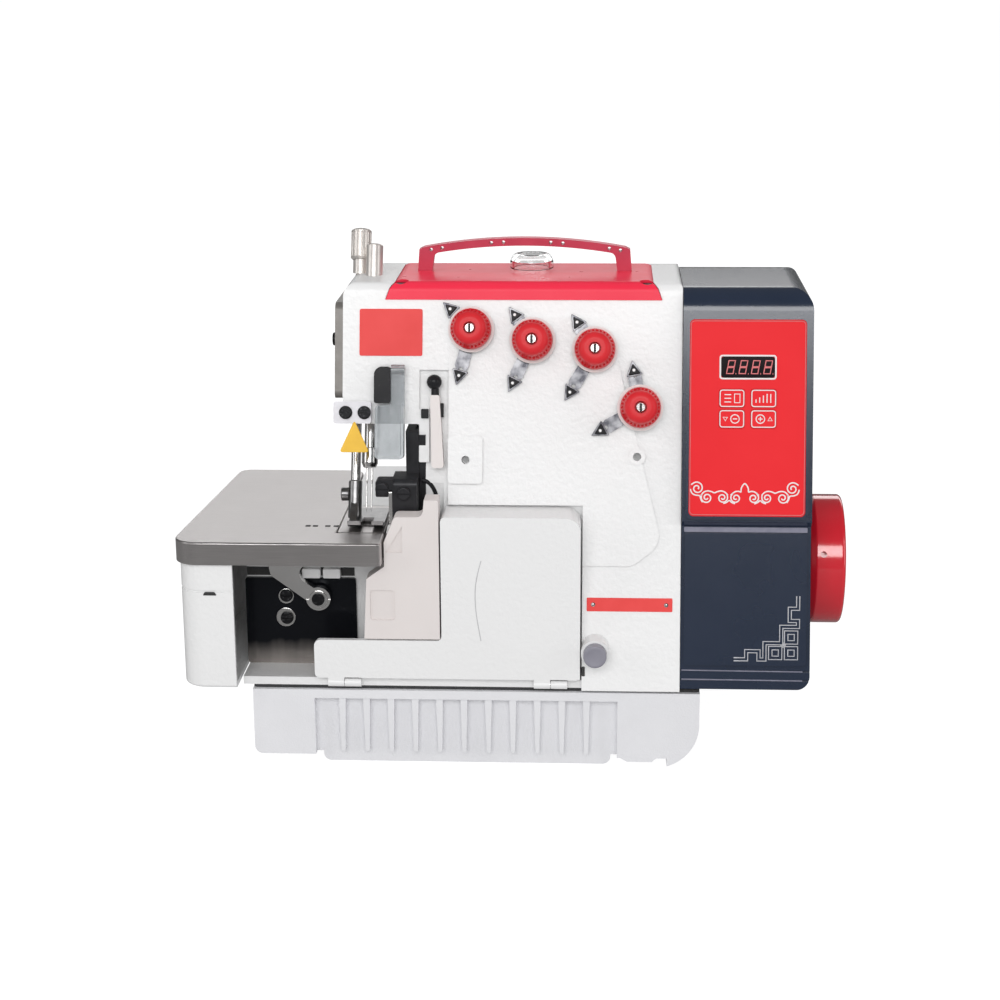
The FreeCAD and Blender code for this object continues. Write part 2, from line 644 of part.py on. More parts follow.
    body = body.cut([crankcase, bed_hollow, arm_hollow, pocket, pocket_foot, chute_niche, cup_niche,
                     feed_window, rear_window, needle_bore, presser_bore, shaft_bore, feed_bore,
                     button_bore, lid_block(FIT, 0)]
                    + looper_bores + post_bores + accessory_bores)

    spigot = rod(V(COLUMN_RIGHT, SHAFT_Y, SHAFT_Z), V(1, 0, 0), STATOR_RADIUS + SPIGOT_WALL, SPIGOT_LENGTH)
    spigot = spigot.cut(rod(V(COLUMN_RIGHT, SHAFT_Y, SHAFT_Z), V(1, 0, 0), STATOR_RADIUS, SPIGOT_LENGTH))
    chute_bosses = [rod(V(CHUTE_RIGHT - 6.0, CHUTE_DEPTH, z), V(0, 1, 0), CHUTE_BOSS_RADIUS,
                        CHUTE_SEAT - CHUTE_DEPTH + 1) for z in (CHUTE_FOOT + 20.0, CHUTE_TOP - 16.0)]
    lug = block(HINGE_X, BED_LEFT + 1, HINGE_Y - HINGE_BARREL_RADIUS, HINGE_Y + HINGE_BARREL_RADIUS,
                BED_TOP - HINGE_LUG, BED_TOP)
    lug_end = rod(V(HINGE_X, HINGE_Y, BED_TOP - HINGE_LUG), V(0, 0, 1), HINGE_BARREL_RADIUS, HINGE_LUG)
    lug_bore = rod(V(HINGE_X, HINGE_Y, BED_TOP - HINGE_LUG), V(0, 0, 1), HINGE_PIN_RADIUS, HINGE_LUG)
    body = body.fuse([spigot, lug, lug_end] + chute_bosses + cover_knuckles(on_cover=False)).cut(lug_bore)
    return drilled(body).removeSplitter()


# Front cover and its hinge

def knuckle_places():
    """Left ends of the two hinge sites along the front cover's foot."""
    return (LIP_LEFT + 8.0, COVER_RIGHT - 8.0 - 2 * KNUCKLE_LENGTH)


def cover_knuckles(on_cover):
    """Hinge barrels: the cover's own, or the casting's beside them."""
    barrels = []
    for left in knuckle_places():
        start = left if on_cover else left + KNUCKLE_LENGTH + FIT
        centre = V(start, COVER_AXIS_Y, COVER_AXIS_Z)
        barrel = rod(centre, V(1, 0, 0), KNUCKLE_RADIUS, KNUCKLE_LENGTH)
        if on_cover:
            web = block(start, start + KNUCKLE_LENGTH, COVER_AXIS_Y - KNUCKLE_RADIUS + 0.6, COVER_WALL,
                        COVER_AXIS_Z, COVER_FOOT + 3.5)
        else:
            web = block(start, start + KNUCKLE_LENGTH, COVER_AXIS_Y, FLANGE_FRONT + 1,
                        COVER_AXIS_Z - KNUCKLE_RADIUS, COVER_AXIS_Z)
        bore = rod(centre, V(1, 0, 0), COVER_PIN_RADIUS + (RUN_FIT if on_cover else 0), KNUCKLE_LENGTH)
        barrels.append(barrel.fuse(web).cut(bore))
    return barrels


def front_cover():
    outline = [(LIP_LEFT, COVER_FOOT + 2.5, 3.0), (LIP_LEFT, LIP_TOP, 4.0), (COVER_LEFT, LIP_TOP, 3.0),
               (COVER_LEFT, COVER_TOP, 3.0), (COVER_RIGHT, COVER_TOP, COVER_CORNER_ROUND),
               (COVER_RIGHT, COVER_FOOT + 2.5, 3.0)]
    sheet = along_y(outline, 0, COVER_WALL)
    bulge = rectangle(COVER_LEFT, COVER_RIGHT, FLANGE + 2.0, COVER_TOP, COVER_CORNER_ROUND)
    bulge[0] = bulge[0][:2]
    bulge[1] = bulge[1][:2]
    bulge[3] = (bulge[3][0], bulge[3][1], 3.0)
    inner = [(COVER_LEFT + COVER_WALL, FLANGE), (COVER_RIGHT - COVER_WALL, FLANGE),
             (COVER_RIGHT - COVER_WALL, COVER_TOP - COVER_WALL, COVER_CORNER_ROUND - COVER_WALL),
             (COVER_LEFT + COVER_WALL, COVER_TOP - COVER_WALL)]
    walls = along_y(bulge, 0, COVER_DEPTH).cut(along_y(inner, 0, COVER_DEPTH))
    slope = along_x([(face_y(COVER_TOP) + 3, COVER_TOP + 1), (COVER_DEPTH + 1, COVER_TOP + 1),
                     (COVER_DEPTH + 1, FLANGE), (12.0, FLANGE)], COVER_LEFT - 1, COVER_RIGHT + 1)
    cover = sheet.fuse([walls.cut(slope)] + cover_knuckles(on_cover=True))
    for left in knuckle_places():
        beside = block(left + KNUCKLE_LENGTH, left + 2 * KNUCKLE_LENGTH + 2 * FIT, -1, COVER_WALL + 1,
                       0, COVER_AXIS_Z + KNUCKLE_RADIUS + 1.2)
        cover = cover.cut(beside)
    return cover.removeSplitter()


def cover_hinge_pins():
    return [rod(V(left, COVER_AXIS_Y, COVER_AXIS_Z), V(1, 0, 0), COVER_PIN_RADIUS,
                2 * KNUCKLE_LENGTH + FIT) for left in knuckle_places()]


# Oil pan

def oil_pan():
    top = -GASKET
    foot = top - PAN_HEIGHT
    step = foot + PAN_STEP
    hook = PAN_RIGHT - PAN_HOOK
    ends = along_y([(PAN_LEFT, top), (PAN_LEFT, step, 5.0), (WELL_RIGHT, step), (WELL_RIGHT, foot),
                    (PAN_RIGHT, foot, PAN_END_ROUND), (PAN_RIGHT, top)], PAN_FRONT, PAN_BACK)
    arch = along_y([(WELL_RIGHT - 1, foot - 1), (hook, foot - 1), (hook, step), (hook - 6.6, step),
                    (hook - 9.0, step - PAN_TOE), (WELL_RIGHT + 10.0, step - PAN_TOE), (WELL_RIGHT + 6.0, step),
                    (WELL_RIGHT - 1, step)], PAN_FRONT - 1, PAN_BACK + 1)
    waist = [along_y(rectangle(WELL_LEFT - 4.0, WELL_RIGHT + 4.0, step - 1, top - PAN_RIM), y0, y1)
             for y0, y1 in ((PAN_FRONT - 1, PAN_FRONT + WELL_SETBACK),
                            (PAN_BACK - WELL_SETBACK, PAN_BACK + 1))]
    well = along_y([(WELL_LEFT, top - PAN_RIM), (WELL_LEFT, foot, 5.0), (WELL_RIGHT, foot, 5.0),
                    (WELL_RIGHT, top - PAN_RIM)], PAN_FRONT + WELL_SETBACK, PAN_BACK - WELL_SETBACK)
    rib_top = top - PAN_RIM
    ribs = []
    for i in range(RIB_COUNT):
        x = RIB_FIRST_X + i * RIB_PITCH
        outline = [(x - RIB_WIDE / 2, rib_top), (x + RIB_WIDE / 2, rib_top),
                   (x + RIB_NARROW / 2, step + 2, 1.2), (x - RIB_NARROW / 2, step + 2, 1.2)]
        ribs.append(along_y(outline, PAN_FRONT + 0.8, PAN_FRONT + WELL_SETBACK))
        ribs.append(along_y(outline, PAN_BACK - WELL_SETBACK, PAN_BACK - 0.8))
    drain = rod(V(DRAIN_X, DRAIN_Y, foot + DRAIN_LIFT + DRAIN_HEAD), V(0, 0, 1), DRAIN_RADIUS + 2.0, PAN_STEP)
    pan = ends.cut([arch] + waist).fuse([well, drain] + ribs)
    shallow = block(PAN_LEFT + PAN_WALL, PAN_RIGHT - PAN_WALL - 16.0, PAN_FRONT + PAN_WALL + WELL_SETBACK,
                    PAN_BACK - PAN_WALL - WELL_SETBACK, step + PAN_WALL, top)
    deep = block(WELL_LEFT + PAN_WALL, WELL_RIGHT - PAN_WALL, PAN_FRONT + PAN_WALL + WELL_SETBACK,
                 PAN_BACK - PAN_WALL - WELL_SETBACK, foot + PAN_WALL, top)
    return pan.cut([shallow, deep, drain_plug(False)]).removeSplitter()


def drain_plug(whole):
    """Round drain plug; its stem alone is the hole that it screws into."""
    seat = DRAIN_LIFT + DRAIN_HEAD - GASKET - PAN_HEIGHT
    stem = rod(V(DRAIN_X, DRAIN_Y, seat), V(0, 0, 1), DRAIN_RADIUS - 1.5, PAN_STEP)
    if not whole:
        return stem
    head = turned([(0, 0), (DRAIN_RADIUS, 0, 0.6), (DRAIN_RADIUS, DRAIN_HEAD), (0, DRAIN_HEAD)],
                  V(DRAIN_X, DRAIN_Y, seat - DRAIN_HEAD), V(0, 0, 1))
    return head.fuse(stem).removeSplitter()


def pan_gasket():
    outer = along_z(rectangle(PAN_LEFT, PAN_RIGHT, PAN_FRONT + 3.0, PAN_BACK, 3.0), -GASKET, 0)
    inner = along_z(rectangle(PAN_LEFT + 12.0, CRANKCASE_RIGHT, POCKET_DEPTH, PAN_BACK - 12.0, 3.0),
                    -GASKET, 0)
    return outer.cut(inner)


# Cloth plate, side cover and needle plate

def plate_outline(inset, beyond):
    """Plan of the cloth plate drawn in by inset, and carried beyond its needle plate edges."""
    seam_x = NEEDLE_PLATE_LEFT - PLATE_GAP + beyond
    seam_y = NEEDLE_PLATE_FRONT - PLATE_GAP + beyond
    tongue = PLATE_TONGUE_RIGHT - inset
    front = PLATE_FRONT + inset
    back = PLATE_BACK - inset
    return [(PLATE_LEFT + inset, front, PLATE_CORNER_ROUND - inset), (tongue, front, 3.0),
            (tongue, seam_y, 1.5), (seam_x, seam_y), (seam_x, back, 8.0 - inset),
            (PLATE_LEFT + PLATE_TAPER + inset, back, 8.0 - inset)]


def cloth_plate():
    slab = along_z(plate_outline(0, 0), SKIRT_FOOT, PLATE_TOP)
    under = along_z(plate_outline(PLATE_SHEET, PLATE_SHEET), SKIRT_FOOT - 1, PLATE_TOP - PLATE_SHEET)
    barrel = rod(V(HINGE_X, HINGE_Y, BED_TOP + FIT), V(0, 0, 1), HINGE_BARREL_RADIUS,
                 PLATE_TOP - PLATE_SHEET - BED_TOP - FIT + 1)
    bore = rod(V(HINGE_X, HINGE_Y, BED_TOP), V(0, 0, 1), HINGE_PIN_RADIUS + RUN_FIT,
               PLATE_TOP - PLATE_SHEET - BED_TOP)
    plate = slab.cut(under).fuse(barrel).cut(bore)
    rim = [edge for edge in plate.Edges
           if abs(edge.BoundBox.ZMin - PLATE_TOP) < 1e-4 and abs(edge.BoundBox.ZMax - PLATE_TOP) < 1e-4]
    return plate.makeFillet(1.2, rim)


def plate_hinge_pin():
    return rod(V(HINGE_X, HINGE_Y, BED_TOP - HINGE_LUG), V(0, 0, 1), HINGE_PIN_RADIUS,
               HINGE_LUG + PLATE_TOP - PLATE_SHEET - BED_TOP - FIT)


def side_cover():
    setback = 2.0

    def shell_plan(inset, right):
        front = PLATE_FRONT + setback + inset
        back = SIDE_COVER_BACK - inset
        left = PLATE_LEFT + setback + inset
        return [(left, front, PLATE_CORNER_ROUND - inset), (right, front), (right, back),
                (left + PLATE_SLOPE * (back - front), back, 8.0 - inset)]

    outer = along_z(shell_plan(0, SIDE_COVER_RIGHT), SIDE_COVER_FOOT, SKIRT_FOOT)
    inner = along_z(shell_plan(SIDE_COVER_WALL, SIDE_COVER_RIGHT + 1), SIDE_COVER_FOOT + SIDE_COVER_WALL,
                    SKIRT_FOOT)
    band = along_z(shell_plan(-1, SIDE_COVER_RIGHT + 1), 63.0, 64.4).cut(
        along_z(shell_plan(0.8, SIDE_COVER_RIGHT + 1), 63.0, 64.4))
    shell = outer.cut([inner, band])
    foot = [edge for edge in shell.Edges if abs(edge.BoundBox.ZMax - SIDE_COVER_FOOT) < 1e-4
            and edge.BoundBox.XMin < SIDE_COVER_RIGHT - 0.1]
    return shell.makeFillet(2.0, foot)


def feed_rows():
    """Left edges of the two rows of feed teeth."""
    return (NEEDLE_X - FEED_WIDTH / 2, NEEDLE_X + FEED_WIDTH / 2 - FEED_ROW)


def needle_plate():
    low = PLATE_TOP - NEEDLE_PLATE_THICK
    plate = along_z(rectangle(NEEDLE_PLATE_LEFT, NEEDLE_PLATE_RIGHT, NEEDLE_PLATE_FRONT,
                              NEEDLE_PLATE_BACK - PLATE_GAP, 1.5), low, PLATE_TOP)
    side = 0.5
    slots = [block(x - side, x + FEED_ROW + side, FEED_FRONT - FEED_TRAVEL - side,
                   FEED_BACK + FEED_TRAVEL + side, low - 1, PLATE_TOP + 1) for x in feed_rows()]
    half = NEEDLE_SPACING / 2 + NEEDLE_RADIUS + 0.8
    eye = along_z(rectangle(NEEDLE_X - half, NEEDLE_X + half, NEEDLE_Y - 3.0, NEEDLE_Y + 2.0, 1.4),
                  low - 1, PLATE_TOP + 1)
    return plate.cut(slots + [eye])


def feed_dog():
    """Two toothed rows on a carrier whose upright stands on the feed bar."""
    carrier_top = PLATE_TOP - NEEDLE_PLATE_THICK - 3.0
    left = NEEDLE_X - FEED_WIDTH / 2
    carrier = block(left, left + FEED_WIDTH, FEED_FRONT, FEED_BACK, BED_TOP - 1, carrier_top)
    rows = []
    tip = PLATE_TOP + FEED_TOOTH_RISE
    root = tip - 1.4
    for x in feed_rows():
        corners = [(FEED_FRONT, carrier_top - 1)]
        y = FEED_FRONT
        while y < FEED_BACK - 0.1:
            corners.append((y, root))
            corners.append((y + FEED_TOOTH_PITCH * 0.7, tip))
            y += FEED_TOOTH_PITCH
        corners.append((FEED_BACK, root))
        corners.append((FEED_BACK, carrier_top - 1))
        rows.append(along_x(corners, x, x + FEED_ROW))
    bar_z = SHAFT_Z - 4
    upright = block(NEEDLE_X - 4, NEEDLE_X + 4, FEED_FRONT + 4, FEED_BACK - 4, bar_z, BED_TOP)
    bar = block(NEEDLE_X - 4, NEEDLE_X + 4, FEED_FRONT + 4, 120.0, bar_z - 5, bar_z + 5)
    tail = rod(V(NEEDLE_X, 119.0, bar_z), V(0, 1, 0), FEED_TAIL_RADIUS, CASTING_BACK - 3.0 - 119.0)
    return carrier.fuse(rows + [upright, bar, tail]).removeSplitter()


# Chip chute, chamber plate and loopers

def chute_outline(inset):
    shoulder = CHUTE_TOP - CHUTE_SHOULDER
    seam = PLATE_TONGUE_RIGHT + 1.0
    return [(CHUTE_LEFT + inset, CHUTE_FOOT + inset), (CHUTE_RIGHT - inset, CHUTE_FOOT + inset),
            (CHUTE_RIGHT - inset, CHUTE_TOP - inset), (CHUTE_RIGHT - 8.5 + inset, CHUTE_TOP - inset),
            (CHUTE_RIGHT - 9.5 + inset, shoulder - inset, 4.0), (seam + 6.5 + inset, shoulder - inset, 3.0),
            (seam + inset, PLATE_TOP - 2.0), (seam + inset, SKIRT_FOOT - 3.0 - inset),
            (CHUTE_LEFT + 2.0 + inset, SKIRT_FOOT - 11.0 - inset)]


def chip_chute():
    shell = along_y(chute_outline(0), 0, CHUTE_DEPTH)
    shell = shell.cut(along_y(chute_outline(CHUTE_WALL), CHUTE_WALL, CHUTE_DEPTH))
    pads = [rod(V(CHUTE_RIGHT - 6.0, CHUTE_WALL, z), V(0, 1, 0), CHUTE_BOSS_RADIUS, CHUTE_DEPTH - CHUTE_WALL)
            for z in (CHUTE_FOOT + 20.0, CHUTE_TOP - 16.0)]
    wedge = along_y([(CHUTE_LEFT + 14.0, PLATE_TOP - 8.0), (CHUTE_LEFT + 24.0, PLATE_TOP - 8.0),
                     (CHUTE_LEFT + 24.0, PLATE_TOP + 8.0)], -1, 1.2)
    ledge = along_y(rectangle(CHUTE_LEFT + 4.0, CHUTE_LEFT + 19.0, CHUTE_FOOT + 12.0, SKIRT_FOOT - 18.0, 2.0),
                    -1, 1.2)
    return shell.fuse(pads).cut([wedge, ledge]).removeSplitter()


def chamber_plate():
    plate = along_y(rectangle(BED_LEFT - 1.0, CHAMBER_PLATE_RIGHT, FLANGE, CHAMBER_PLATE_TOP, 2.0),
                    BED_FRONT - CHAMBER_PLATE, BED_FRONT)
    clear = rod(V(LOWER_LOOPER_X, BED_FRONT - CHAMBER_PLATE, LOWER_LOOPER_Z), V(0, 1, 0),
                LOOPER_SHAFT_RADIUS + 0.5, CHAMBER_PLATE)
    return drilled(plate.cut(clear))


def looper(x, z, front, thick, outline, hub_radius):
    """Blade cut from a flat outline on a hub, with its rocker shaft behind."""
    blade = along_y(outline, front, front + thick)
    hub = rod(V(x, front, z), V(0, 1, 0), hub_radius, thick)
    shaft = rod(V(x, front, z), V(0, 1, 0), LOOPER_SHAFT_RADIUS, LOOPER_SHAFT_END - front)
    slot = block(x - hub_radius, x + hub_radius, front - 1, front + 1, z - 0.6, z + 0.6)
    return blade.fuse([hub, shaft]).cut(slot).removeSplitter()


def lower_looper():
    x, z = LOWER_LOOPER_X, LOWER_LOOPER_Z
    outline = [(x + 5, z + 2, 2.0), (x - 22, z + 20, 6.0), (x + 30, z + 26.5), (x + 33, z + 28.2),
               (x - 4, z + 29.5, 10.0), (x - 31, z + 24.5, 5.0), (x - 29, z + 15, 4.0), (x - 6, z - 2, 2.0)]
    return looper(x, z, LOWER_LOOPER_FRONT, LOWER_LOOPER_THICK, outline, LOOPER_SHAFT_RADIUS + 2.5)


def upper_looper():
    x, z = UPPER_LOOPER_X, UPPER_LOOPER_Z
    outline = [(x + 5, z, 2.0), (x - 10, z + 40, 5.0), (x - 19, z + 44), (x - 20, z + 42.5),
               (x - 16, z + 35, 6.0), (x - 5, z, 2.0)]
    return looper(x, z, UPPER_LOOPER_FRONT, UPPER_LOOPER_THICK, outline, LOOPER_SHAFT_RADIUS + 2.0)


# Knives

def lower_knife():
    back = BED_FRONT - FIT
    foot = PLATE_TOP - LOWER_KNIFE_LENGTH
    side = [(KNIFE_FRONT, PLATE_TOP - 1.5), (back, PLATE_TOP), (back, foot), (KNIFE_FRONT, foot, 2.0)]
    return along_x(side, LOWER_KNIFE_LEFT, LOWER_KNIFE_RIGHT)


def upper_knife():
    foot = PLATE_TOP + UPPER_KNIFE_RISE
    return along_x([(KNIFE_FRONT, foot + 3.0), (BED_FRONT, foot), (BED_FRONT, UPPER_KNIFE_TOP),
                    (KNIFE_FRONT, UPPER_KNIFE_TOP, 2.0)], UPPER_KNIFE_LEFT, UPPER_KNIFE_RIGHT)


def dovetail(grow, low, high):
    """Tongue of the knife slideway, or with a clearance the groove that runs on it."""
    face = COLUMN_LEFT - KNIFE_GUIDE
    tip = face - DOVETAIL_DEPTH - grow
    neck = DOVETAIL_FLARE - grow
    return along_z([(face, DOVETAIL_FRONT + neck), (tip, DOVETAIL_FRONT - grow), (tip, DOVETAIL_BACK + grow),
                    (face, DOVETAIL_BACK - neck)], low, high)


def knife_guide():
    """Black slideway on the column's left wall."""
    low, high = PLATE_TOP + 2.0, ARM_UNDER - UNDER_ROUND - FIT
    base = block(COLUMN_LEFT - KNIFE_GUIDE, COLUMN_LEFT, KNIFE_GUIDE_FRONT, KNIFE_GUIDE_BACK, low, high)
    return base.fuse(dovetail(0, low, high)).removeSplitter()


def knife_holder():
    right = COLUMN_LEFT - KNIFE_GUIDE - FIT / 2
    slide_foot = PLATE_TOP + 14.0
    head = PLATE_TOP + 32.0
    slide = block(right - 8.0, right, KNIFE_GUIDE_FRONT, KNIFE_GUIDE_BACK - 4.0, slide_foot, ARM_UNDER - 4.0)
    groove = dovetail(SLIDE_FIT, PLATE_TOP, ARM_UNDER)
    bracket = along_x([(KNIFE_FRONT, PLATE_TOP + 6.0, 2.0), (KNIFE_FRONT, head, 4.0),
                       (KNIFE_GUIDE_FRONT + 4.0, head), (KNIFE_GUIDE_FRONT + 4.0, slide_foot),
                       (BED_FRONT, PLATE_TOP + 6.0)], UPPER_KNIFE_RIGHT, right)
    lug_left = UPPER_KNIFE_LEFT - KNIFE_LUG
    lug_foot = head - KNIFE_LUG_HEIGHT
    over = UPPER_KNIFE_TOP + FIT
    lug = along_y([(UPPER_KNIFE_RIGHT + 1, head), (lug_left, head, 2.0), (lug_left, lug_foot, 1.0),
                   (UPPER_KNIFE_LEFT - FIT, lug_foot), (UPPER_KNIFE_LEFT - FIT, over),
                   (UPPER_KNIFE_RIGHT + 1, over)], KNIFE_FRONT, KNIFE_FRONT + KNIFE_LUG_DEPTH)
    holder = slide.fuse([bracket, lug])
    for x, z in ((right - 8.0, head - 8.0), (lug_left + 4.0, head - 5.2)):
        holder = holder.fuse(screw_head(V(x, KNIFE_FRONT, z), V(0, -1, 0)))
    return holder.cut(groove).removeSplitter()


# Needle and presser bars

def needle_bar():
    start = NEEDLE_RISE + NEEDLE_LENGTH - CLAMP_LAP + CLAMP_LENGTH
    end = arm_top_along() + CAP_RISE - CAP_ROOF - CAP_ROOM
    return rod(bar_point(NEEDLE_X, NEEDLE_Y, start), BAR_UP, NEEDLE_BAR_RADIUS, end - start)


def needle_clamp():
    start = NEEDLE_RISE + NEEDLE_LENGTH - CLAMP_LAP
    body = turned([(0, 0), (CLAMP_RADIUS - 1.2, 0), (CLAMP_RADIUS, 2.5), (CLAMP_RADIUS, CLAMP_LENGTH, 0.8),
                   (0, CLAMP_LENGTH)], bar_point(NEEDLE_X, NEEDLE_Y, start), BAR_UP)
    return body.cut(needles())


def needles():
    """Two needles side by side, each a point, a shank and a grooved blade turned in one."""
    solids = []
    for side in (-0.5, 0.5):
        base = bar_point(NEEDLE_X + side * NEEDLE_SPACING, NEEDLE_Y, NEEDLE_RISE)
        profile = [(0, 0), (NEEDLE_RADIUS * 0.6, 3.0), (NEEDLE_RADIUS * 0.6, NEEDLE_LENGTH * 0.55),
                   (NEEDLE_RADIUS, NEEDLE_LENGTH * 0.62), (NEEDLE_RADIUS, NEEDLE_LENGTH), (0, NEEDLE_LENGTH)]
        solids.append(turned(profile, base, BAR_UP))
    return solids


def above_arm(shape):
    """Trim a tilted piece flat where it stands on the arm's top."""
    return shape.cut(block(ARM_LEFT - 20, COLUMN_RIGHT, 0, CASTING_BACK, 0, CASTING_HEIGHT))


def arm_top_along():
    """Distance along a tilted axis from the cloth plate's level to the arm's top."""
    return (CASTING_HEIGHT - PLATE_TOP) / BAR_UP.z


def needle_cap():
    bore = NEEDLE_BAR_RADIUS + 0.15
    start = arm_top_along() - CAP_SKIRT
    tall = CAP_SKIRT + CAP_RISE
    tube = turned([(0, 0), (bore + CAP_WALL, 0), (bore + CAP_WALL, tall, 1.0), (0, tall)],
                  bar_point(NEEDLE_X, NEEDLE_Y, start), BAR_UP)
    inside = rod(bar_point(NEEDLE_X, NEEDLE_Y, start), BAR_UP, bore, tall - CAP_ROOF)
    return above_arm(tube.cut(inside))


def screw_seat_along():
    """Distance along the presser bar's axis to the underside of the pressure screw's head."""
    return arm_top_along() + LOCK_NUT + LOCK_NUT_COLLAR + FIT


def presser_bar():
    start = FOOT_SHANK_LENGTH + 1.5
    end = screw_seat_along() - SCREW_SHANK_LENGTH - PRESSER_SPRING_ROOM
    return rod(bar_point(PRESSER_X, PRESSER_Y, start), BAR_UP, PRESSER_BAR_RADIUS, end - start)


def presser_foot():
    """Sole with an upturned toe and a needle slot, under a tilted round shank."""
    toe = 5.0
    sole = along_x([(FOOT_FRONT + toe, SOLE_FOOT), (FOOT_BACK, SOLE_FOOT), (FOOT_BACK, SOLE_FOOT + FOOT_SOLE),
                    (FOOT_FRONT + toe, SOLE_FOOT + FOOT_SOLE), (FOOT_FRONT, SOLE_FOOT + FOOT_SOLE + 2.5),
                    (FOOT_FRONT, SOLE_FOOT + 2.5)], FOOT_LEFT, FOOT_RIGHT)
    half = NEEDLE_SPACING / 2 + NEEDLE_RADIUS + 1.2
    eye = block(NEEDLE_X - half, NEEDLE_X + half, FOOT_FRONT - 1, NEEDLE_Y + 5.0, SOLE_FOOT - 1,
                SOLE_FOOT + FOOT_SOLE + 6)
    shank = turned([(0, 0), (FOOT_SHANK_RADIUS, 0), (FOOT_SHANK_RADIUS, FOOT_SHANK_LENGTH, 1.0),
                    (0, FOOT_SHANK_LENGTH)], bar_point(PRESSER_X, PRESSER_Y, 1.5), BAR_UP)
    shank = shank.cut(block(FOOT_LEFT - 20, FOOT_RIGHT, 0, CASTING_BACK, 0, SOLE_FOOT + FOOT_SOLE / 2))
    rib = along_x([(FOOT_BACK - 2, SOLE_FOOT + 1), (FOOT_FRONT + 8, SOLE_FOOT + 1),
                   (PRESSER_Y + 3, SOLE_FOOT + 12), (PRESSER_Y + 9, SOLE_FOOT + 12)],
                  FOOT_LEFT, FOOT_LEFT + 4.0)
    thumb_base = bar_point(PRESSER_X - FOOT_SHANK_RADIUS + 0.6, PRESSER_Y, FOOT_SHANK_LENGTH - 7.0)
    thumb = turned([(0, 0), (4.2, 0, 0.8), (4.2, 5.0, 0.8), (0, 5.0)], thumb_base, V(-1, 0, 0))
    return sole.cut(eye).fuse([shank, rib, thumb]).removeSplitter()


def lock_nut():
    below = 3.0
    base = bar_point(PRESSER_X, PRESSER_Y, arm_top_along() - below)
    tall = below + LOCK_NUT + LOCK_NUT_COLLAR
    ring = rod(base, BAR_UP, SCREW_HEAD_RADIUS - 1.6, tall)
    return above_arm(ring.cut(rod(base, BAR_UP, PRESSER_BAR_RADIUS + RUN_FIT, tall)))


def pressure_screw():
    base = bar_point(PRESSER_X, PRESSER_Y, screw_seat_along())
    head = turned([(0, 0), (SCREW_HEAD_RADIUS - 1.5, 0), (SCREW_HEAD_RADIUS, 1.5),
                   (SCREW_HEAD_RADIUS, SCREW_HEAD_LENGTH, 1.2), (0, SCREW_HEAD_LENGTH)], base, BAR_UP)
    grooves = []
    for i in range(18):
        turn = FreeCAD.Rotation(BAR_UP, i * 20.0)
        spoke = turn.multVec(V(1, 0, 0)) * SCREW_HEAD_RADIUS
        grooves.append(rod(base + spoke + BAR_UP * 2.0, BAR_UP, 0.45, SCREW_HEAD_LENGTH - 4.0))
    stem = rod(base - BAR_UP * SCREW_SHANK_LENGTH, BAR_UP, PRESSER_BAR_RADIUS, SCREW_SHANK_LENGTH)
    return head.cut(grooves).fuse(stem).removeSplitter()


# Top cover, handle and oil sight

def top_cover():
    whole = lid_block(0, 0)
    shell = whole.cut(lid_block(0, LID_WALL))
    recess = SCREW_RADIUS + LID_SCREW_ROOM
    down = V(0, 0, -1)
    bosses = [rod(seat, down, recess + 1.5, seat.z - LID_FOOT).common(whole) for seat in lid_screw_seats()]
    recesses = [rod(seat, V(0, 0, 1), recess, 2 * LID_SCREW_DEPTH) for seat in lid_screw_seats()]
    return drilled(shell.fuse(bosses).cut(recesses)).removeSplitter()


def thread_handle():
    """Flat arch on two legs with four pairs of thread holes."""
    foot = LID_TOP
    mid = (HANDLE_LEFT + HANDLE_RIGHT) / 2
    y0 = HANDLE_Y - HANDLE_DEPTH / 2
    shoulder = foot + HANDLE_SHOULDER
    apex = foot + HANDLE_APEX
    low = shoulder - HANDLE_BAR + 1.0

    def at(x, z):
        return V(x, y0, z)

    left_in = HANDLE_LEFT + HANDLE_LEG
    right_in = HANDLE_RIGHT - HANDLE_LEG
    ease = 1.5
    outer_left = [at(HANDLE_LEFT, foot), at(HANDLE_LEFT + 1.0, shoulder - ease),
                  at(HANDLE_LEFT + 4.0, shoulder)]
    outer_right = [at(HANDLE_RIGHT - 4.0, shoulder), at(HANDLE_RIGHT - 1.0, shoulder - ease),
                   at(HANDLE_RIGHT, foot)]
    inner_right = [at(right_in, foot), at(right_in - ease, low)]
    inner_left = [at(left_in + ease, low), at(left_in, foot)]
    edges = Part.makePolygon(outer_left).Edges
    edges.append(Part.Arc(outer_left[-1], at(mid, apex), outer_right[0]).toShape())
    edges += Part.makePolygon(outer_right + inner_right).Edges
    edges.append(Part.Arc(inner_right[-1], at(mid, apex - HANDLE_BAR), inner_left[0]).toShape())
    edges += Part.makePolygon(inner_left + outer_left[:1]).Edges
    arch = Part.Face(Part.Wire(edges)).extrude(V(0, HANDLE_DEPTH, 0))
    corners = [edge for edge in arch.Edges
               if abs(edge.BoundBox.ZMax - low) < 1e-4 and edge.BoundBox.YLength > HANDLE_DEPTH - 0.1]
    arch = arch.makeFillet(HANDLE_INNER_ROUND, corners)
    half_span = (HANDLE_RIGHT - HANDLE_LEFT) / 2 - 4.0
    rise = HANDLE_APEX - HANDLE_SHOULDER
    holes = []
    for share in (-0.93, -0.82, -0.33, -0.21, 0.26, 0.38, 0.84, 0.95):
        x = mid + share * half_span
        z = apex - HANDLE_BAR / 2 - rise * share * share
        holes.append(rod(V(x, y0 - 1, z), V(0, 1, 0), THREAD_HOLE_RADIUS, HANDLE_DEPTH + 2))
    return arch.cut(holes)


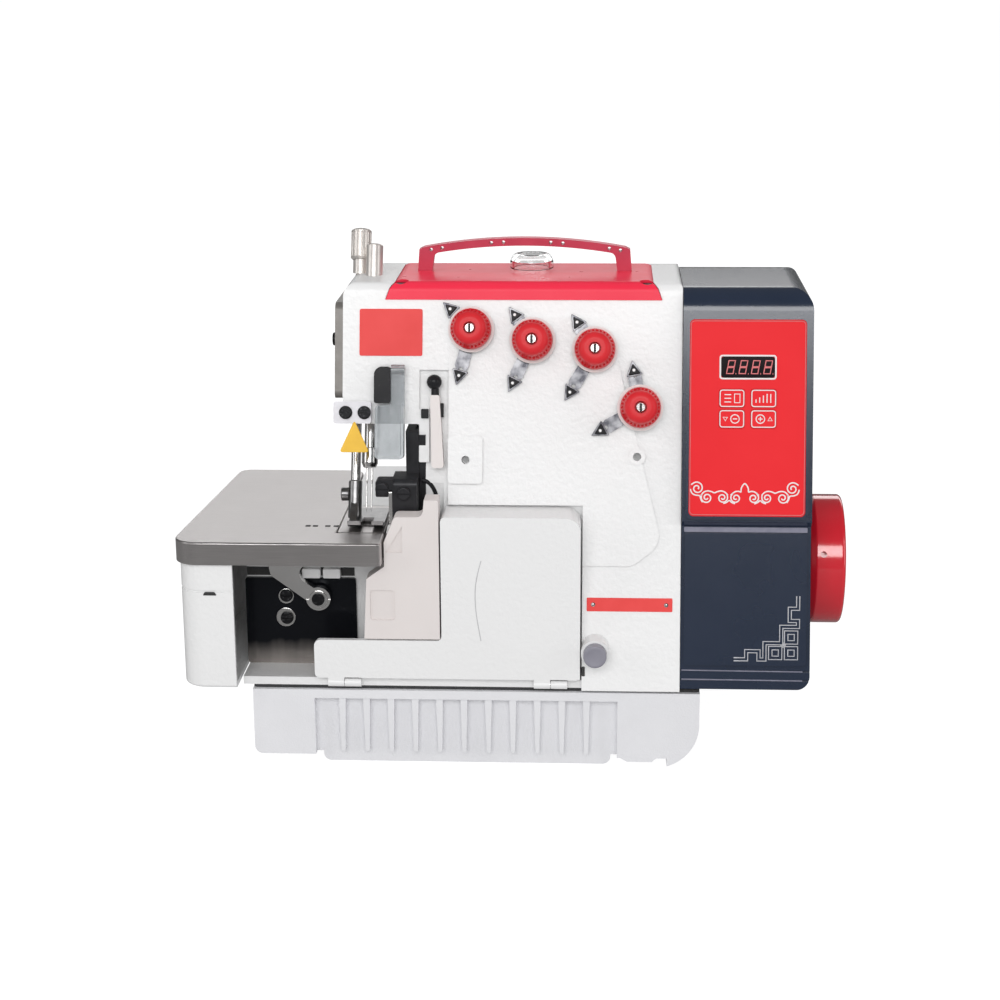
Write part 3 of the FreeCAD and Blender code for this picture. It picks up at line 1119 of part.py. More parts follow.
def oil_sight():
    skirt = SIGHT_RISE * 0.45
    dome = turned([(0, 0), (SIGHT_RADIUS, 0), (SIGHT_RADIUS, skirt), (SIGHT_RADIUS - 2.0, SIGHT_RISE, 4.0),
                   (0, SIGHT_RISE)], V(SIGHT_X, SIGHT_Y, LID_TOP), V(0, 0, 1))
    inside = turned([(0, 0), (SIGHT_RADIUS - 2.5, 0), (SIGHT_RADIUS - 2.5, skirt),
                     (SIGHT_RADIUS - 4.5, SIGHT_RISE - 2.0, 3.0), (0, SIGHT_RISE - 2.0)],
                    V(SIGHT_X, SIGHT_Y, LID_TOP), V(0, 0, 1))
    return dome.cut(inside)


# Tension stacks

def thread_bracket(place, arms):
    """Strip with two arms that end in thread eyelets."""
    x, z = place
    low, high = TENSION_BOSS_RISE, TENSION_BOSS_RISE + BRACKET_THICK
    parts = [face_rod(x, z, TENSION_BOSS_RADIUS, low, high)]
    holes = [face_rod(x, z, POST_RADIUS, low, high)]
    for dx, dz in arms:
        length = math.hypot(dx, dz)
        side = V(-dz / length, dx / length, 0) * (BRACKET_WIDTH / 2)
        neck_x, neck_z = x + dx * 0.8, z + dz * 0.8
        flare = side * BRACKET_FLARE
        parts.append(off_face([(x + side.x, z + side.y), (neck_x + flare.x, neck_z + flare.y, 0.8),
                               (x + dx * 1.1, z + dz * 1.1, 1.2), (neck_x - flare.x, neck_z - flare.y, 0.8),
                               (x - side.x, z - side.y)], low, high))
        holes.append(face_rod(x + dx * 0.86, z + dz * 0.86, 1.3, low, high))
    return parts[0].fuse(parts[1:]).cut(holes).removeSplitter()


def tension_post(place):
    x, z = place
    top = DISC_SEAT + POST_LENGTH
    post = face_rod(x, z, POST_RADIUS, -POST_ROOT, top)
    slot = off_face(rectangle(x - 0.5, x + 0.5, z - POST_RADIUS - 1, z + POST_RADIUS + 1), top - 5.0, top + 1)
    return post.cut(slot)


def tension_disc(place):
    x, z = place
    profile = [(POST_RADIUS + RUN_FIT, 0), (7.0, 0), (DISC_RADIUS, DISC_THICK - 1.4),
               (DISC_RADIUS, DISC_THICK, 0.4), (POST_RADIUS + RUN_FIT, DISC_THICK)]
    return turned(profile, face_point(x, z, DISC_SEAT), FACE_OUT)


def tension_knob(place):
    """Domed cone with a ring of short flutes and an eye round the post's end."""
    x, z = place
    bore = POST_RADIUS + RUN_FIT
    eye_floor = KNOB_LENGTH - KNOB_EYE_DEPTH
    profile = [(bore, 0), (KNOB_RADIUS, 0, 0.6), (KNOB_RADIUS, KNOB_RIM, 6.0),
               (KNOB_NOSE_RADIUS, KNOB_LENGTH, 4.5), (KNOB_EYE_RADIUS, KNOB_LENGTH),
               (KNOB_EYE_RADIUS, eye_floor), (bore, eye_floor)]
    base = face_point(x, z, KNOB_SEAT)
    flutes = []
    for i in range(KNOB_FLUTES):
        spoke = FreeCAD.Rotation(FACE_OUT, i * 360.0 / KNOB_FLUTES).multVec(V(1, 0, 0))
        foot = base + spoke * KNOB_RADIUS + FACE_OUT * KNOB_RIM
        slope = FACE_OUT * (KNOB_LENGTH - KNOB_RIM) - spoke * (KNOB_RADIUS - KNOB_NOSE_RADIUS)
        flutes.append(rod(foot + slope * 0.2, slope, KNOB_FLUTE_RADIUS, slope.Length * 0.4))
    return turned(profile, base, FACE_OUT).cut(flutes)


def stitch_button():
    front = BUTTON_BOSS_FRONT - BUTTON_PROUD
    profile = [(0, 0), (BUTTON_RADIUS, 0, 1.0), (BUTTON_RADIUS, BUTTON_LENGTH), (0, BUTTON_LENGTH)]
    body = turned(profile, V(BUTTON_X, front, BUTTON_Z), V(0, 1, 0))
    dish = Part.makeSphere(18.0, V(BUTTON_X, front - 17.2, BUTTON_Z))
    return body.cut(dish)


# Guards, face plate and oil cup on the arm

def face_plate():
    foot, top = ARM_UNDER + 14.0, CASTING_HEIGHT - 12.0
    plate = along_x([(face_y(foot) + 1, foot, 4.0), (face_y(top) + 1, top, 6.0), (ARM_BACK - 25.0, top, 10.0),
                     (ARM_BACK - 25.0, foot, 10.0)], ARM_LEFT - FACE_PLATE_THICK, ARM_LEFT)
    return drilled(plate)


def guard_bracket():
    plate = off_face(rectangle(GUARD_BRACKET_LEFT, GUARD_BRACKET_RIGHT, ARM_UNDER,
                               ARM_UNDER + GUARD_BRACKET_HEIGHT, 1.5), 0, GUARD_BRACKET_THICK)
    return drilled(plate)


def eye_block():
    """Black block on the arm with the pin that the eye guard swings on."""
    top = EYE_BLOCK_FOOT + EYE_BLOCK_HEIGHT
    outline = [(EYE_BLOCK_LEFT, EYE_BLOCK_FOOT, 1.5), (EYE_BLOCK_RIGHT, EYE_BLOCK_FOOT, 1.5),
               (EYE_BLOCK_RIGHT, top, 1.5), (EYE_BLOCK_LEFT, top, 5.0)]
    body = off_face(outline, 0, EYE_BLOCK_THICK)
    pin = rod(face_point(EYE_BLOCK_RIGHT - 1, EYE_AXIS_Z, EYE_AXIS_OUT), V(1, 0, 0), EYE_PIN_RADIUS,
              EYE_GUARD_RIGHT - EYE_BLOCK_RIGHT + 1)
    return body.fuse(pin).removeSplitter()


def eye_guard():
    """Clear pane on an upright bar, with a rim down both sides and a ledge at its foot."""
    inner = EYE_AXIS_OUT - EYE_GUARD_THICK / 2
    outer = EYE_AXIS_OUT + EYE_GUARD_THICK / 2
    left = EYE_BLOCK_RIGHT + FIT
    window = [(EYE_GUARD_LEFT, EYE_GUARD_FOOT, 3.0), (EYE_GUARD_RIGHT, EYE_GUARD_FOOT, 3.0),
              (EYE_GUARD_RIGHT, EYE_AXIS_Z), (left, EYE_AXIS_Z), (left, EYE_GUARD_NECK, 2.0),
              (EYE_GUARD_LEFT, EYE_GUARD_NECK, 3.0)]
    pane = off_face(window, inner, outer)
    front = outer + EYE_GUARD_LEDGE
    frame = rectangle(EYE_GUARD_LEFT, EYE_GUARD_RIGHT, EYE_GUARD_FOOT, EYE_GUARD_NECK, 3.0)
    whole = off_face(frame, inner, front)
    open_box = off_face([(EYE_GUARD_LEFT + EYE_GUARD_RIM, EYE_GUARD_FOOT + EYE_GUARD_RIM, 1.5),
                         (EYE_GUARD_RIGHT - EYE_GUARD_RIM, EYE_GUARD_FOOT + EYE_GUARD_RIM, 1.5),
                         (EYE_GUARD_RIGHT - EYE_GUARD_RIM, EYE_GUARD_NECK + 1),
                         (EYE_GUARD_LEFT + EYE_GUARD_RIM, EYE_GUARD_NECK + 1)], inner, front)
    centre = face_point(left, EYE_AXIS_Z, EYE_AXIS_OUT)
    knuckle = rod(centre, V(1, 0, 0), EYE_KNUCKLE_RADIUS, EYE_GUARD_RIGHT - left)
    bore = rod(centre, V(1, 0, 0), EYE_PIN_RADIUS + RUN_FIT, EYE_GUARD_RIGHT - left)
    return pane.fuse([whole.cut(open_box), knuckle]).cut(bore).removeSplitter()


def oil_cup():
    back = -CUP_NICHE_DEPTH
    outline = [(-51.0, CUP_TOP, 1.0), (-45.5, CUP_TOP, 1.0), (-42.5, CUP_FOOT, 2.0), (-50.0, CUP_FOOT, 2.0)]
    return off_face(outline, back, back + CUP_THICK)


def oil_cup_plug():
    middle = CUP_THICK / 2 - CUP_NICHE_DEPTH
    neck = rod(face_point(-48.3, CUP_TOP, middle), FACE_UP, 2.4, 5.0)
    clear = CUP_BALL_RADIUS - CUP_NICHE_DEPTH + FIT
    ball = Part.makeSphere(CUP_BALL_RADIUS, face_point(-48.8, CUP_TOP + 5.0 + CUP_BALL_RADIUS * 0.6, clear))
    return neck.fuse(ball).removeSplitter()


# Shaft, bearings, motor and handwheel

def shaft_ring(left, right, outer, inner):
    centre = V(left, SHAFT_Y, SHAFT_Z)
    ring = rod(centre, V(1, 0, 0), outer, right - left)
    return ring.cut(rod(centre, V(1, 0, 0), inner, right - left))


def main_shaft():
    length = WHEEL_RIGHT - WHEEL_DISH - SHAFT_LEFT
    return rod(V(SHAFT_LEFT, SHAFT_Y, SHAFT_Z), V(1, 0, 0), SHAFT_RADIUS, length)


def shaft_bearings():
    bore = SHAFT_RADIUS + RUN_FIT
    return [shaft_ring(COLUMN_LEFT, CRANKCASE_LEFT, BEARING_RADIUS, bore),
            shaft_ring(CRANKCASE_RIGHT, COLUMN_RIGHT, BEARING_RADIUS, bore)]


def eccentrics():
    """Three cams on the shaft, thrown a third of a turn apart."""
    cams = []
    for i, x in enumerate(ECCENTRIC_PLACES):
        angle = math.radians(120.0 * i)
        throw = V(0, math.cos(angle), math.sin(angle)) * ECCENTRIC_THROW
        cam = rod(V(x, SHAFT_Y, SHAFT_Z) + throw, V(1, 0, 0), ECCENTRIC_RADIUS, ECCENTRIC_WIDTH)
        cams.append(cam.cut(rod(V(x, SHAFT_Y, SHAFT_Z), V(1, 0, 0), SHAFT_RADIUS, ECCENTRIC_WIDTH)))
    return cams


def motor_stator():
    """Laminated ring with slots open to the bore."""
    ring = shaft_ring(STATOR_LEFT, STATOR_RIGHT, STATOR_RADIUS, STATOR_BORE)
    slots = []
    for i in range(12):
        turn = FreeCAD.Rotation(V(1, 0, 0), i * 30.0)
        spoke = turn.multVec(V(0, 1, 0)) * (STATOR_BORE + 3.0)
        start = V(STATOR_LEFT, SHAFT_Y, SHAFT_Z) + spoke
        slots.append(rod(start, V(1, 0, 0), 3.6, STATOR_RIGHT - STATOR_LEFT))
    return ring.cut(slots)


def motor_rotor():
    return shaft_ring(STATOR_LEFT + 2, STATOR_RIGHT - 2, STATOR_BORE - ROTOR_GAP, SHAFT_RADIUS)


def handwheel():
    wide = WHEEL_RIGHT - WHEEL_LEFT
    floor = wide - WHEEL_DISH
    inner = WHEEL_RADIUS - WHEEL_RIM
    profile = [(SHAFT_RADIUS, 0), (WHEEL_RADIUS - 3.0, 0, 2.0), (WHEEL_RADIUS, 4.0, 2.0),
               (WHEEL_RADIUS, wide, 2.5), (inner + 1.5, wide, 1.0), (inner, floor, 2.0),
               (WHEEL_HUB_RADIUS, floor, 2.0), (WHEEL_HUB_RADIUS - 1.0, wide - 2.0, 1.0),
               (SHAFT_RADIUS, wide - 2.0)]
    wheel = turned(profile, V(WHEEL_LEFT, SHAFT_Y, SHAFT_Z), V(1, 0, 0))
    holes = []
    for angle in (40.0, 160.0, 280.0):
        spoke = V(0, math.cos(math.radians(angle)), math.sin(math.radians(angle)))
        start = V(WHEEL_LEFT + 8.0, SHAFT_Y, SHAFT_Z) + spoke * (WHEEL_RADIUS - 6.0)
        holes.append(rod(start, spoke, 2.0, 8.0))
    return wheel.cut(holes)


# Motor housing and control panel

def housing_side(inset):
    """Side outline of the housing: lower panel, brow over it and a rounded crown."""
    foot, top, back = HOUSING_FOOT + inset, HOUSING_TOP - inset, HOUSING_BACK - inset
    low = inset / math.cos(LEAN)
    brow = low - HOUSING_BROW / math.cos(LEAN)
    step = HOUSING_BROW_FOOT + inset
    return [(face_y(foot) + low, foot), (face_y(step) + low, step), (face_y(step + 4.0) + brow, step + 4.0),
            (face_y(top) + brow, top, HOUSING_CROWN_ROUND - inset), (back, top, HOUSING_BACK_ROUND - inset),
            (back, foot, 8.0 - inset)]


def housing_front(inset):
    left = COLUMN_RIGHT + FIT - (1.0 if inset else 0.0)
    return [(left, HOUSING_FOOT + inset), (left, HOUSING_TOP - inset),
            (HOUSING_RIGHT - inset, HOUSING_TOP - inset, HOUSING_SIDE_ROUND - inset),
            (HOUSING_RIGHT - inset, HOUSING_FOOT + inset, 8.0 - inset)]


def housing_block(inset):
    front, back = -20.0, HOUSING_BACK + 1
    return along_x(housing_side(inset), COLUMN_RIGHT - 2, HOUSING_RIGHT + 1).common(
        along_y(housing_front(inset), front, back))


def board_posts(radius, inner, outer):
    return [face_rod(x, z, radius, inner, outer) for x in (PANEL_LEFT + POST_INSET, PANEL_RIGHT - POST_INSET)
            for z in (PANEL_FOOT + POST_RISE, PANEL_TOP - POST_DROP)]


def motor_housing():
    left, right = PANEL_LEFT - BEZEL, PANEL_RIGHT + BEZEL
    frame_rim = rectangle(left, right, PANEL_FOOT - BEZEL, PANEL_TOP + BEZEL, 4.0)
    bezel = off_face(frame_rim, HOUSING_BROW - 1, PANEL_FACE + 0.6)
    apron = off_face(rectangle(left, right, APRON_FOOT, HOUSING_BROW_FOOT - 4.0, 3.0), -1, 1.2)
    inner_face = HOUSING_BROW - HOUSING_WALL
    posts = board_posts(BOARD_POST_RADIUS, inner_face - BOARD_GAP, inner_face + 1)
    shell = housing_block(0).fuse([bezel, apron]).cut(housing_block(HOUSING_WALL)).fuse(posts)
    panel_seat = off_face(rectangle(PANEL_LEFT, PANEL_RIGHT, PANEL_FOOT, PANEL_TOP, 3.0), PANEL_SEAT,
                          PANEL_FACE + 2)
    grooves = [off_face(rectangle(COLUMN_RIGHT - 2, HOUSING_RIGHT + 2, z, z + 0.9), -0.8, 2.0)
               for z in (7.0, 12.5)]
    shaft_hole = rod(V(HOUSING_RIGHT - 8, SHAFT_Y, SHAFT_Z), V(1, 0, 0), SHAFT_RADIUS + 1.0, 10)
    vents = []
    for i in range(VENT_COUNT):
        z = VENT_FOOT + i * VENT_PITCH
        outline = rectangle(COLUMN_RIGHT + VENT_INSET, HOUSING_RIGHT - VENT_INSET, z, z + VENT_HEIGHT, 1.9)
        vents.append(along_y(outline, HOUSING_BACK - HOUSING_WALL - 1, HOUSING_BACK + 1))
    return shell.cut([panel_seat, shaft_hole] + grooves + vents).removeSplitter()


def key_places():
    """Centres of the four keys under the display."""
    return [(PANEL_MID + (column - 0.5) * KEY_PITCH_X, KEY_TOP_Z - row * KEY_PITCH_Z)
            for row in (0, 1) for column in (0, 1)]


def key_outline(place, grow):
    x, z = place
    return rectangle(x - KEY_WIDTH / 2 - grow, x + KEY_WIDTH / 2 + grow, z - KEY_HEIGHT / 2 - grow,
                     z + KEY_HEIGHT / 2 + grow, 1.6 + grow)


def display_outline():
    return rectangle(PANEL_MID - DISPLAY_WIDTH / 2, PANEL_MID + DISPLAY_WIDTH / 2,
                     DISPLAY_Z - DISPLAY_HEIGHT / 2, DISPLAY_Z + DISPLAY_HEIGHT / 2, 1.5)


def control_panel():
    plate = off_face(rectangle(PANEL_LEFT, PANEL_RIGHT, PANEL_FOOT, PANEL_TOP, 3.0), PANEL_SEAT, PANEL_FACE)
    floor = PANEL_FACE + KEY_PROUD - KEY_THICK - KEY_TRAVEL - 0.2
    wells = [off_face(key_outline(place, 0.25), floor, PANEL_FACE + 1) for place in key_places()]
    window = off_face(display_outline(), PANEL_FACE - 1.5, PANEL_FACE + 1)
    return plate.cut(wells + [window])


def panel_key(place):
    return off_face(key_outline(place, 0), PANEL_FACE + KEY_PROUD - KEY_THICK, PANEL_FACE + KEY_PROUD)


def display_window():
    return off_face(display_outline(), PANEL_FACE - 1.5, PANEL_FACE + 0.3)


def control_board():
    seat = HOUSING_BROW - HOUSING_WALL - BOARD_GAP
    edge = POST_INSET - BOARD_POST_RADIUS
    outline = rectangle(PANEL_LEFT + POST_INSET - edge, PANEL_RIGHT - POST_INSET + edge,
                        PANEL_FOOT + POST_RISE - edge, PANEL_TOP - POST_DROP + edge, 2.0)
    return off_face(outline, seat - BOARD_THICK, seat)


# Rear cover

def rear_cover():
    outline = rectangle(CRANKCASE_LEFT - 4.0, CRANKCASE_RIGHT + 8.0, REAR_COVER_FOOT, REAR_COVER_TOP, 10.0)
    plate = along_y(outline, CASTING_BACK, CASTING_BACK + REAR_COVER_THICK)
    inset = rectangle(CRANKCASE_LEFT + 10.0, CRANKCASE_RIGHT - 10.0, REAR_COVER_FOOT + REAR_PANEL_INSET,
                      REAR_COVER_TOP - REAR_PANEL_INSET, 8.0)
    panel = along_y(inset, CASTING_BACK + REAR_COVER_THICK - 1.2, CASTING_BACK + REAR_COVER_THICK + 1)
    return drilled(plate.cut(panel))


os.makedirs("parts", exist_ok=True)
write("main_casting", main_casting())
write("rear_cover", rear_cover())
write("slotted_screws", *[screw(base, axis) for base, axis in screw_places()])
write("oil_pan", oil_pan())
write("drain_plug", drain_plug(True))
write("pan_gasket", pan_gasket())
write("top_cover", top_cover())
write("thread_handle", thread_handle())
write("oil_sight", oil_sight())
write("face_plate", face_plate())
write("guard_bracket", guard_bracket())
write("eye_guard_block", eye_block())
write("eye_guard", eye_guard())
write("oil_cup", oil_cup())
write("oil_cup_plug", oil_cup_plug())
write("needle_cap", needle_cap())
write("lock_nut", lock_nut())
write("pressure_screw", pressure_screw())
write("presser_bar", presser_bar())
write("presser_foot", presser_foot())
write("needle_bar", needle_bar())
write("needle_clamp", needle_clamp())
write("needles", *needles())
write("feed_dog", feed_dog())
write("needle_plate", needle_plate())
write("cloth_plate", cloth_plate())
write("side_cover", side_cover())
write("plate_hinge_pin", plate_hinge_pin())
write("front_cover", front_cover())
write("cover_hinge_pins", *cover_hinge_pins())
write("chip_chute", chip_chute())
write("chamber_plate", chamber_plate())
write("lower_looper", lower_looper())
write("upper_looper", upper_looper())
write("lower_knife", lower_knife())
write("upper_knife", upper_knife())
write("knife_guide", knife_guide())
write("knife_holder", knife_holder())
write("thread_brackets", *[thread_bracket(p, a) for p, a in zip(TENSION_PLACES, TENSION_ARMS)])
write("tension_posts", *[tension_post(place) for place in TENSION_PLACES])
write("tension_discs", *[tension_disc(place) for place in TENSION_PLACES])
for number, place in enumerate(TENSION_PLACES, 1):
    write("tension_knob_%d" % number, tension_knob(place))
write("stitch_button", stitch_button())
write("main_shaft", main_shaft())
write("shaft_bearings", *shaft_bearings())
write("eccentrics", *eccentrics())
write("motor_stator", motor_stator())
write("motor_rotor", motor_rotor())
write("handwheel", handwheel())
write("motor_housing", motor_housing())
write("control_panel", control_panel())
write("display_window", display_window())
write("control_board", control_board())
for number, place in enumerate(key_places(), 1):
    write("panel_key_%d" % number, panel_key(place))
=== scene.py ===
import math
import bmesh
import bpy
from mathutils import Matrix, Vector


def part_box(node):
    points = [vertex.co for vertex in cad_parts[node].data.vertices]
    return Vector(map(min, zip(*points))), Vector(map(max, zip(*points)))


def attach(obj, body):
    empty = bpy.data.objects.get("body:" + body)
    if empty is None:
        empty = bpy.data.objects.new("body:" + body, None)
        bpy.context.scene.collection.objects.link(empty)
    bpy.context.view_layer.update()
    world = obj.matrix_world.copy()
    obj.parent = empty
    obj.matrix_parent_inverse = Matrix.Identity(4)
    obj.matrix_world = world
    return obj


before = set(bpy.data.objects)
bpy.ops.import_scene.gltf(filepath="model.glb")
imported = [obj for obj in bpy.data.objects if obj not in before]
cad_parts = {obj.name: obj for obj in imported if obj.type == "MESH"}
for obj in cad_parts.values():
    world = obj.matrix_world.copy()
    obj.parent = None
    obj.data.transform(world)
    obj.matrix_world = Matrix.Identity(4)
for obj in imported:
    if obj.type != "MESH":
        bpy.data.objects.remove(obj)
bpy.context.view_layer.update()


# The oil pan is an aluminium sand casting with ribs. A black rubber gasket seals it to the casting
# above, and a plated plug drains it. The head stands on its flat bottom.

class Wire:
    """A socket of a finish, used like a number: arithmetic on it adds Math nodes."""

    def __init__(self, tree, socket=None):
        self.tree = tree
        self.socket = socket

    def add(self, kind, settings, values, out=None):
        """Adds a node: its settings first, then a number, a colour or a Wire on each named socket."""
        made = self.tree.nodes.new("ShaderNode" + kind)
        for key, value in settings.items():
            setattr(made, key, value)
        sockets = {socket.identifier: socket for socket in made.inputs}
        for key, value in values.items():
            if isinstance(value, Wire):
                self.tree.links.new(value.socket, sockets[key])
            else:
                sockets[key].default_value = value
        results = {socket.identifier: socket for socket in made.outputs}
        return Wire(self.tree, results[out] if out else made.outputs[0])

    def combine(self, operation, first, second):
        return self.add("Math", {"operation": operation}, {"Value": first, "Value_001": second})

    def __add__(self, other):
        return self.combine("ADD", self, other)

    __radd__ = __add__

    def __mul__(self, other):
        return self.combine("MULTIPLY", self, other)

    __rmul__ = __mul__

    def noise(self, scale, detail=2.0):
        return self.add("TexNoise", {}, {"Vector": self, "Scale": scale, "Detail": detail})

    def stretch(self, x, y, z):
        return self.add("Mapping", {}, {"Vector": self, "Scale": (x, y, z)})

    def between(self, low, high):
        """One at high and above, nought at low and below."""
        return self.add("MapRange", {}, {"Value": self, "From Min": low, "From Max": high})

    def colours(self, first, second):
        """Goes from the first colour to the second as this value goes from nought to one."""
        shades = {"Factor_Float": self, "A_Color": (*first, 1), "B_Color": (*second, 1)}
        return self.add("Mix", {"data_type": "RGBA"}, shades, "Result_Color")

    def bump(self, strength, distance):
        return self.add("Bump", {}, {"Height": self, "Strength": strength, "Distance": distance})

    def into(self, shader, name):
        self.tree.links.new(self.socket, shader.inputs[name])


def finish(name, colour, roughness, metallic=0.0, **constants):
    """A new finish. Returns it, its shader and the position on the surface.

    The colour and roughness hold where no pattern feeds them, and in an export that bakes nothing.
    """
    look = bpy.data.materials.new(name)
    look.use_nodes = True
    tree = look.node_tree
    shader = tree.nodes["Principled BSDF"]
    shader.inputs["Base Color"].default_value = (*colour, 1)
    shader.inputs["Roughness"].default_value = roughness
    shader.inputs["Metallic"].default_value = metallic
    for key, value in constants.items():
        socket = key.replace("_", " ").title().replace("Ior", "IOR")
        shader.inputs[socket].default_value = value
    return look, shader, Wire(tree).add("TexCoord", {}, {}, "Object")


def dress(look, *names):
    """Puts a finish on CAD nodes."""
    for name in names:
        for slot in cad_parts[name].material_slots:
            slot.material = look


cast_aluminium, shader, place = finish("cast_aluminium", (0.74, 0.74, 0.76), 0.5, 0.1)
grain = place.noise(900.0, 4.0)
place.noise(28.0, 3.0).colours((0.76, 0.76, 0.785), (0.86, 0.86, 0.885)).into(shader, "Base Color")
(0.42 + 0.22 * grain).into(shader, "Roughness")
(grain + 0.4 * place.noise(160.0)).bump(0.35, 0.0005).into(shader, "Normal")
dress(cast_aluminium, "oil_pan")

gasket_rubber, shader, place = finish("gasket_rubber", (0.035, 0.035, 0.037), 0.75)
speck = place.noise(500.0)
speck.colours((0.025, 0.025, 0.027), (0.05, 0.05, 0.052)).into(shader, "Base Color")
speck.bump(0.3, 0.0002).into(shader, "Normal")
dress(gasket_rubber, "pan_gasket")

bright_steel, shader, place = finish("bright_steel", (0.72, 0.71, 0.70), 0.16, 1.0)
hairline = place.stretch(1.0, 1.0, 0.08).noise(2200.0)
place.noise(40.0).colours((0.66, 0.65, 0.64), (0.78, 0.77, 0.76)).into(shader, "Base Color")
(0.12 + 0.14 * hairline).into(shader, "Roughness")
hairline.bump(0.06, 0.0002).into(shader, "Normal")
dress(bright_steel, "drain_plug")


# The main casting is iron, filled, primed and stove enamelled white, which leaves a light
# orange-peel skin. The rear cover screwed over the crankcase has the same coat.

white_enamel, shader, place = finish("white_enamel", (0.83, 0.83, 0.83), 0.3,
                                     coat_weight=0.25, coat_roughness=0.12)
place.noise(9.0).colours((0.81, 0.81, 0.812), (0.85, 0.85, 0.85)).into(shader, "Base Color")
(0.26 + 0.1 * place.noise(60.0)).into(shader, "Roughness")
place.noise(330.0).bump(0.45, 0.0008).into(shader, "Normal")
dress(white_enamel, "main_casting", "rear_cover")


# The main shaft is ground steel in two ball bearings. The iron eccentrics and the motor's rotor are
# pressed on it, and the rotor turns in a stator of stacked iron sheets.

dress(bright_steel, "main_shaft", "shaft_bearings")

core_iron, shader, place = finish("core_iron", (0.12, 0.12, 0.125), 0.55, 0.8)
sheets = place.add("TexWave", {"bands_direction": "X"},
                   {"Vector": place, "Scale": 320.0, "Distortion": 0.4}, "Fac")
(0.45 + 0.2 * sheets).into(shader, "Roughness")
sheets.bump(0.4, 0.0003).into(shader, "Normal")
dress(core_iron, "motor_stator", "motor_rotor", "eccentrics")


# Slotted screws hold the covers and the chamber plate. They are turned from steel and blackened,
# and the screwdriver has rubbed their high spots bright.

black_screw, shader, place = finish("black_screw", (0.03, 0.03, 0.032), 0.35, 0.6, specular_ior_level=0.25)
rubbed = place.noise(700.0, 3.0).between(0.55, 0.7)
rubbed.colours((0.018, 0.018, 0.02), (0.07, 0.07, 0.075)).into(shader, "Base Color")
(0.28 + 0.2 * place.noise(300.0)).into(shader, "Roughness")
dress(black_screw, "slotted_screws")


# The loopers rock on shafts of their own, and the toothed feed dog rides on a bar. All are hardened
# and polished steel. A bright washer and a blackened screw head close the lower looper's hub.

dress(bright_steel, "lower_looper", "upper_looper", "feed_dog")

mm = 0.001


def box_mm(node):
    """The lowest and highest corner of a CAD node, in millimetres."""
    return [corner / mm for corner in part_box(node)]


def level(x, y, z):
    """Frame on a level top, from millimetres in the shared frame."""
    return Matrix.Translation((x * mm, y * mm, z * mm))


def upright(x, y, z):
    """Frame on a wall that faces the front, from millimetres in the shared frame."""
    return level(x, y, z) @ Matrix.Rotation(math.radians(90), 4, "X")


def show(name, data):
    """Puts a mesh, a lamp or a camera in the scene."""
    made = bpy.data.objects.new(name, data)
    bpy.context.scene.collection.objects.link(made)
    return made


def piece(name, shape, look, body, seat):
    """Sets a bmesh on its seat and makes it a piece of the object that moves with a body."""
    bmesh.ops.remove_doubles(shape, verts=shape.verts, dist=1e-7)
    bmesh.ops.recalc_face_normals(shape, faces=shape.faces)
    bmesh.ops.transform(shape, matrix=seat, verts=shape.verts)
    mesh = bpy.data.meshes.new(name)
    shape.to_mesh(mesh)
    shape.free()
    mesh.materials.append(look)
    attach(show(name, mesh), body)


def soften(shape, thick, edge):
    """Rounds the upper edges of a plate and brings it from millimetres to metres."""
    top = [e for e in shape.edges if all(v.co.z > thick / 2 for v in e.verts)]
    bmesh.ops.bevel(shape, geom=top, offset=edge, offset_type="OFFSET", affect="EDGES",
                    segments=2, profile=0.5, material=-1)
    bmesh.ops.scale(shape, vec=(mm, mm, mm), verts=shape.verts)
    return shape


def disc(radius, thick, edge):
    """A round plate, in millimetres."""
    shape = bmesh.new()
    bmesh.ops.create_cone(shape, cap_ends=True, segments=36, radius1=radius, radius2=radius, depth=thick,
                          matrix=Matrix.Translation((0, 0, thick / 2)))
    return soften(shape, thick, edge)


hub = upright(-121.3, box_mm("lower_looper")[0].y, 100.8)
piece("hub_washer", disc(radius=5.6, thick=0.6, edge=0.3), bright_steel, "looper_low", hub)
piece("hub_head", disc(radius=4.0, thick=1.6, edge=0.4), black_screw, "looper_low", hub)


# The looper chamber's back plate is blued steel that mirrors the dark inside of the machine, and it
# turns pale along its foot. Bright washers sit under its screws. Two white blocks carry the thread
# above it, against a dark strip that is painted shade in the gaps above the chamber.

chamber_mirror, shader, place = finish("chamber_mirror", (0.05, 0.055, 0.06), 0.12, 0.5,
                                       specular_ior_level=0.2)
smear = place.stretch(1.0, 1.0, 0.25).noise(90.0, 3.0)
above_floor = place.add("SeparateXYZ", {}, {"Vector": place}, "Z")
# Pale along the plate's foot and near black above it.
pale_foot_mask = (above_floor + 0.012 * smear).between(0.060, 0.077)
pale_foot_mask.colours((0.33, 0.30, 0.28), (0.010, 0.011, 0.014)).into(shader, "Base Color")
(0.08 + 0.16 * smear).into(shader, "Roughness")
dress(chamber_mirror, "chamber_plate")

# Dark marks, and dark pieces of painted shade in gaps and slots.
dark_marks_and_painted_shade, shader, place = finish("dark_marks_and_painted_shade", (0.03, 0.03, 0.03), 0.6)
place.noise(900.0).colours((0.02, 0.02, 0.02), (0.05, 0.05, 0.05)).into(shader, "Base Color")


def plate(points, thick, corner, edge):
    """A flat plate of a drawn outline in millimetres, with rounded corners and softened upper edges."""
    shape = bmesh.new()
    foot = shape.faces.new([shape.verts.new((u, v, 0)) for u, v in points])
    grown = bmesh.ops.extrude_face_region(shape, geom=[foot], use_keep_orig=True)["geom"]
    bmesh.ops.translate(shape, vec=(0, 0, thick),
                        verts=[part for part in grown if isinstance(part, bmesh.types.BMVert)])
    corners = [e for e in shape.edges if abs(e.verts[0].co.z - e.verts[1].co.z) > thick / 2]
    bmesh.ops.bevel(shape, geom=corners, offset=corner, offset_type="OFFSET", affect="EDGES",
                    segments=5, profile=0.5, material=-1)
    return soften(shape, thick, edge)


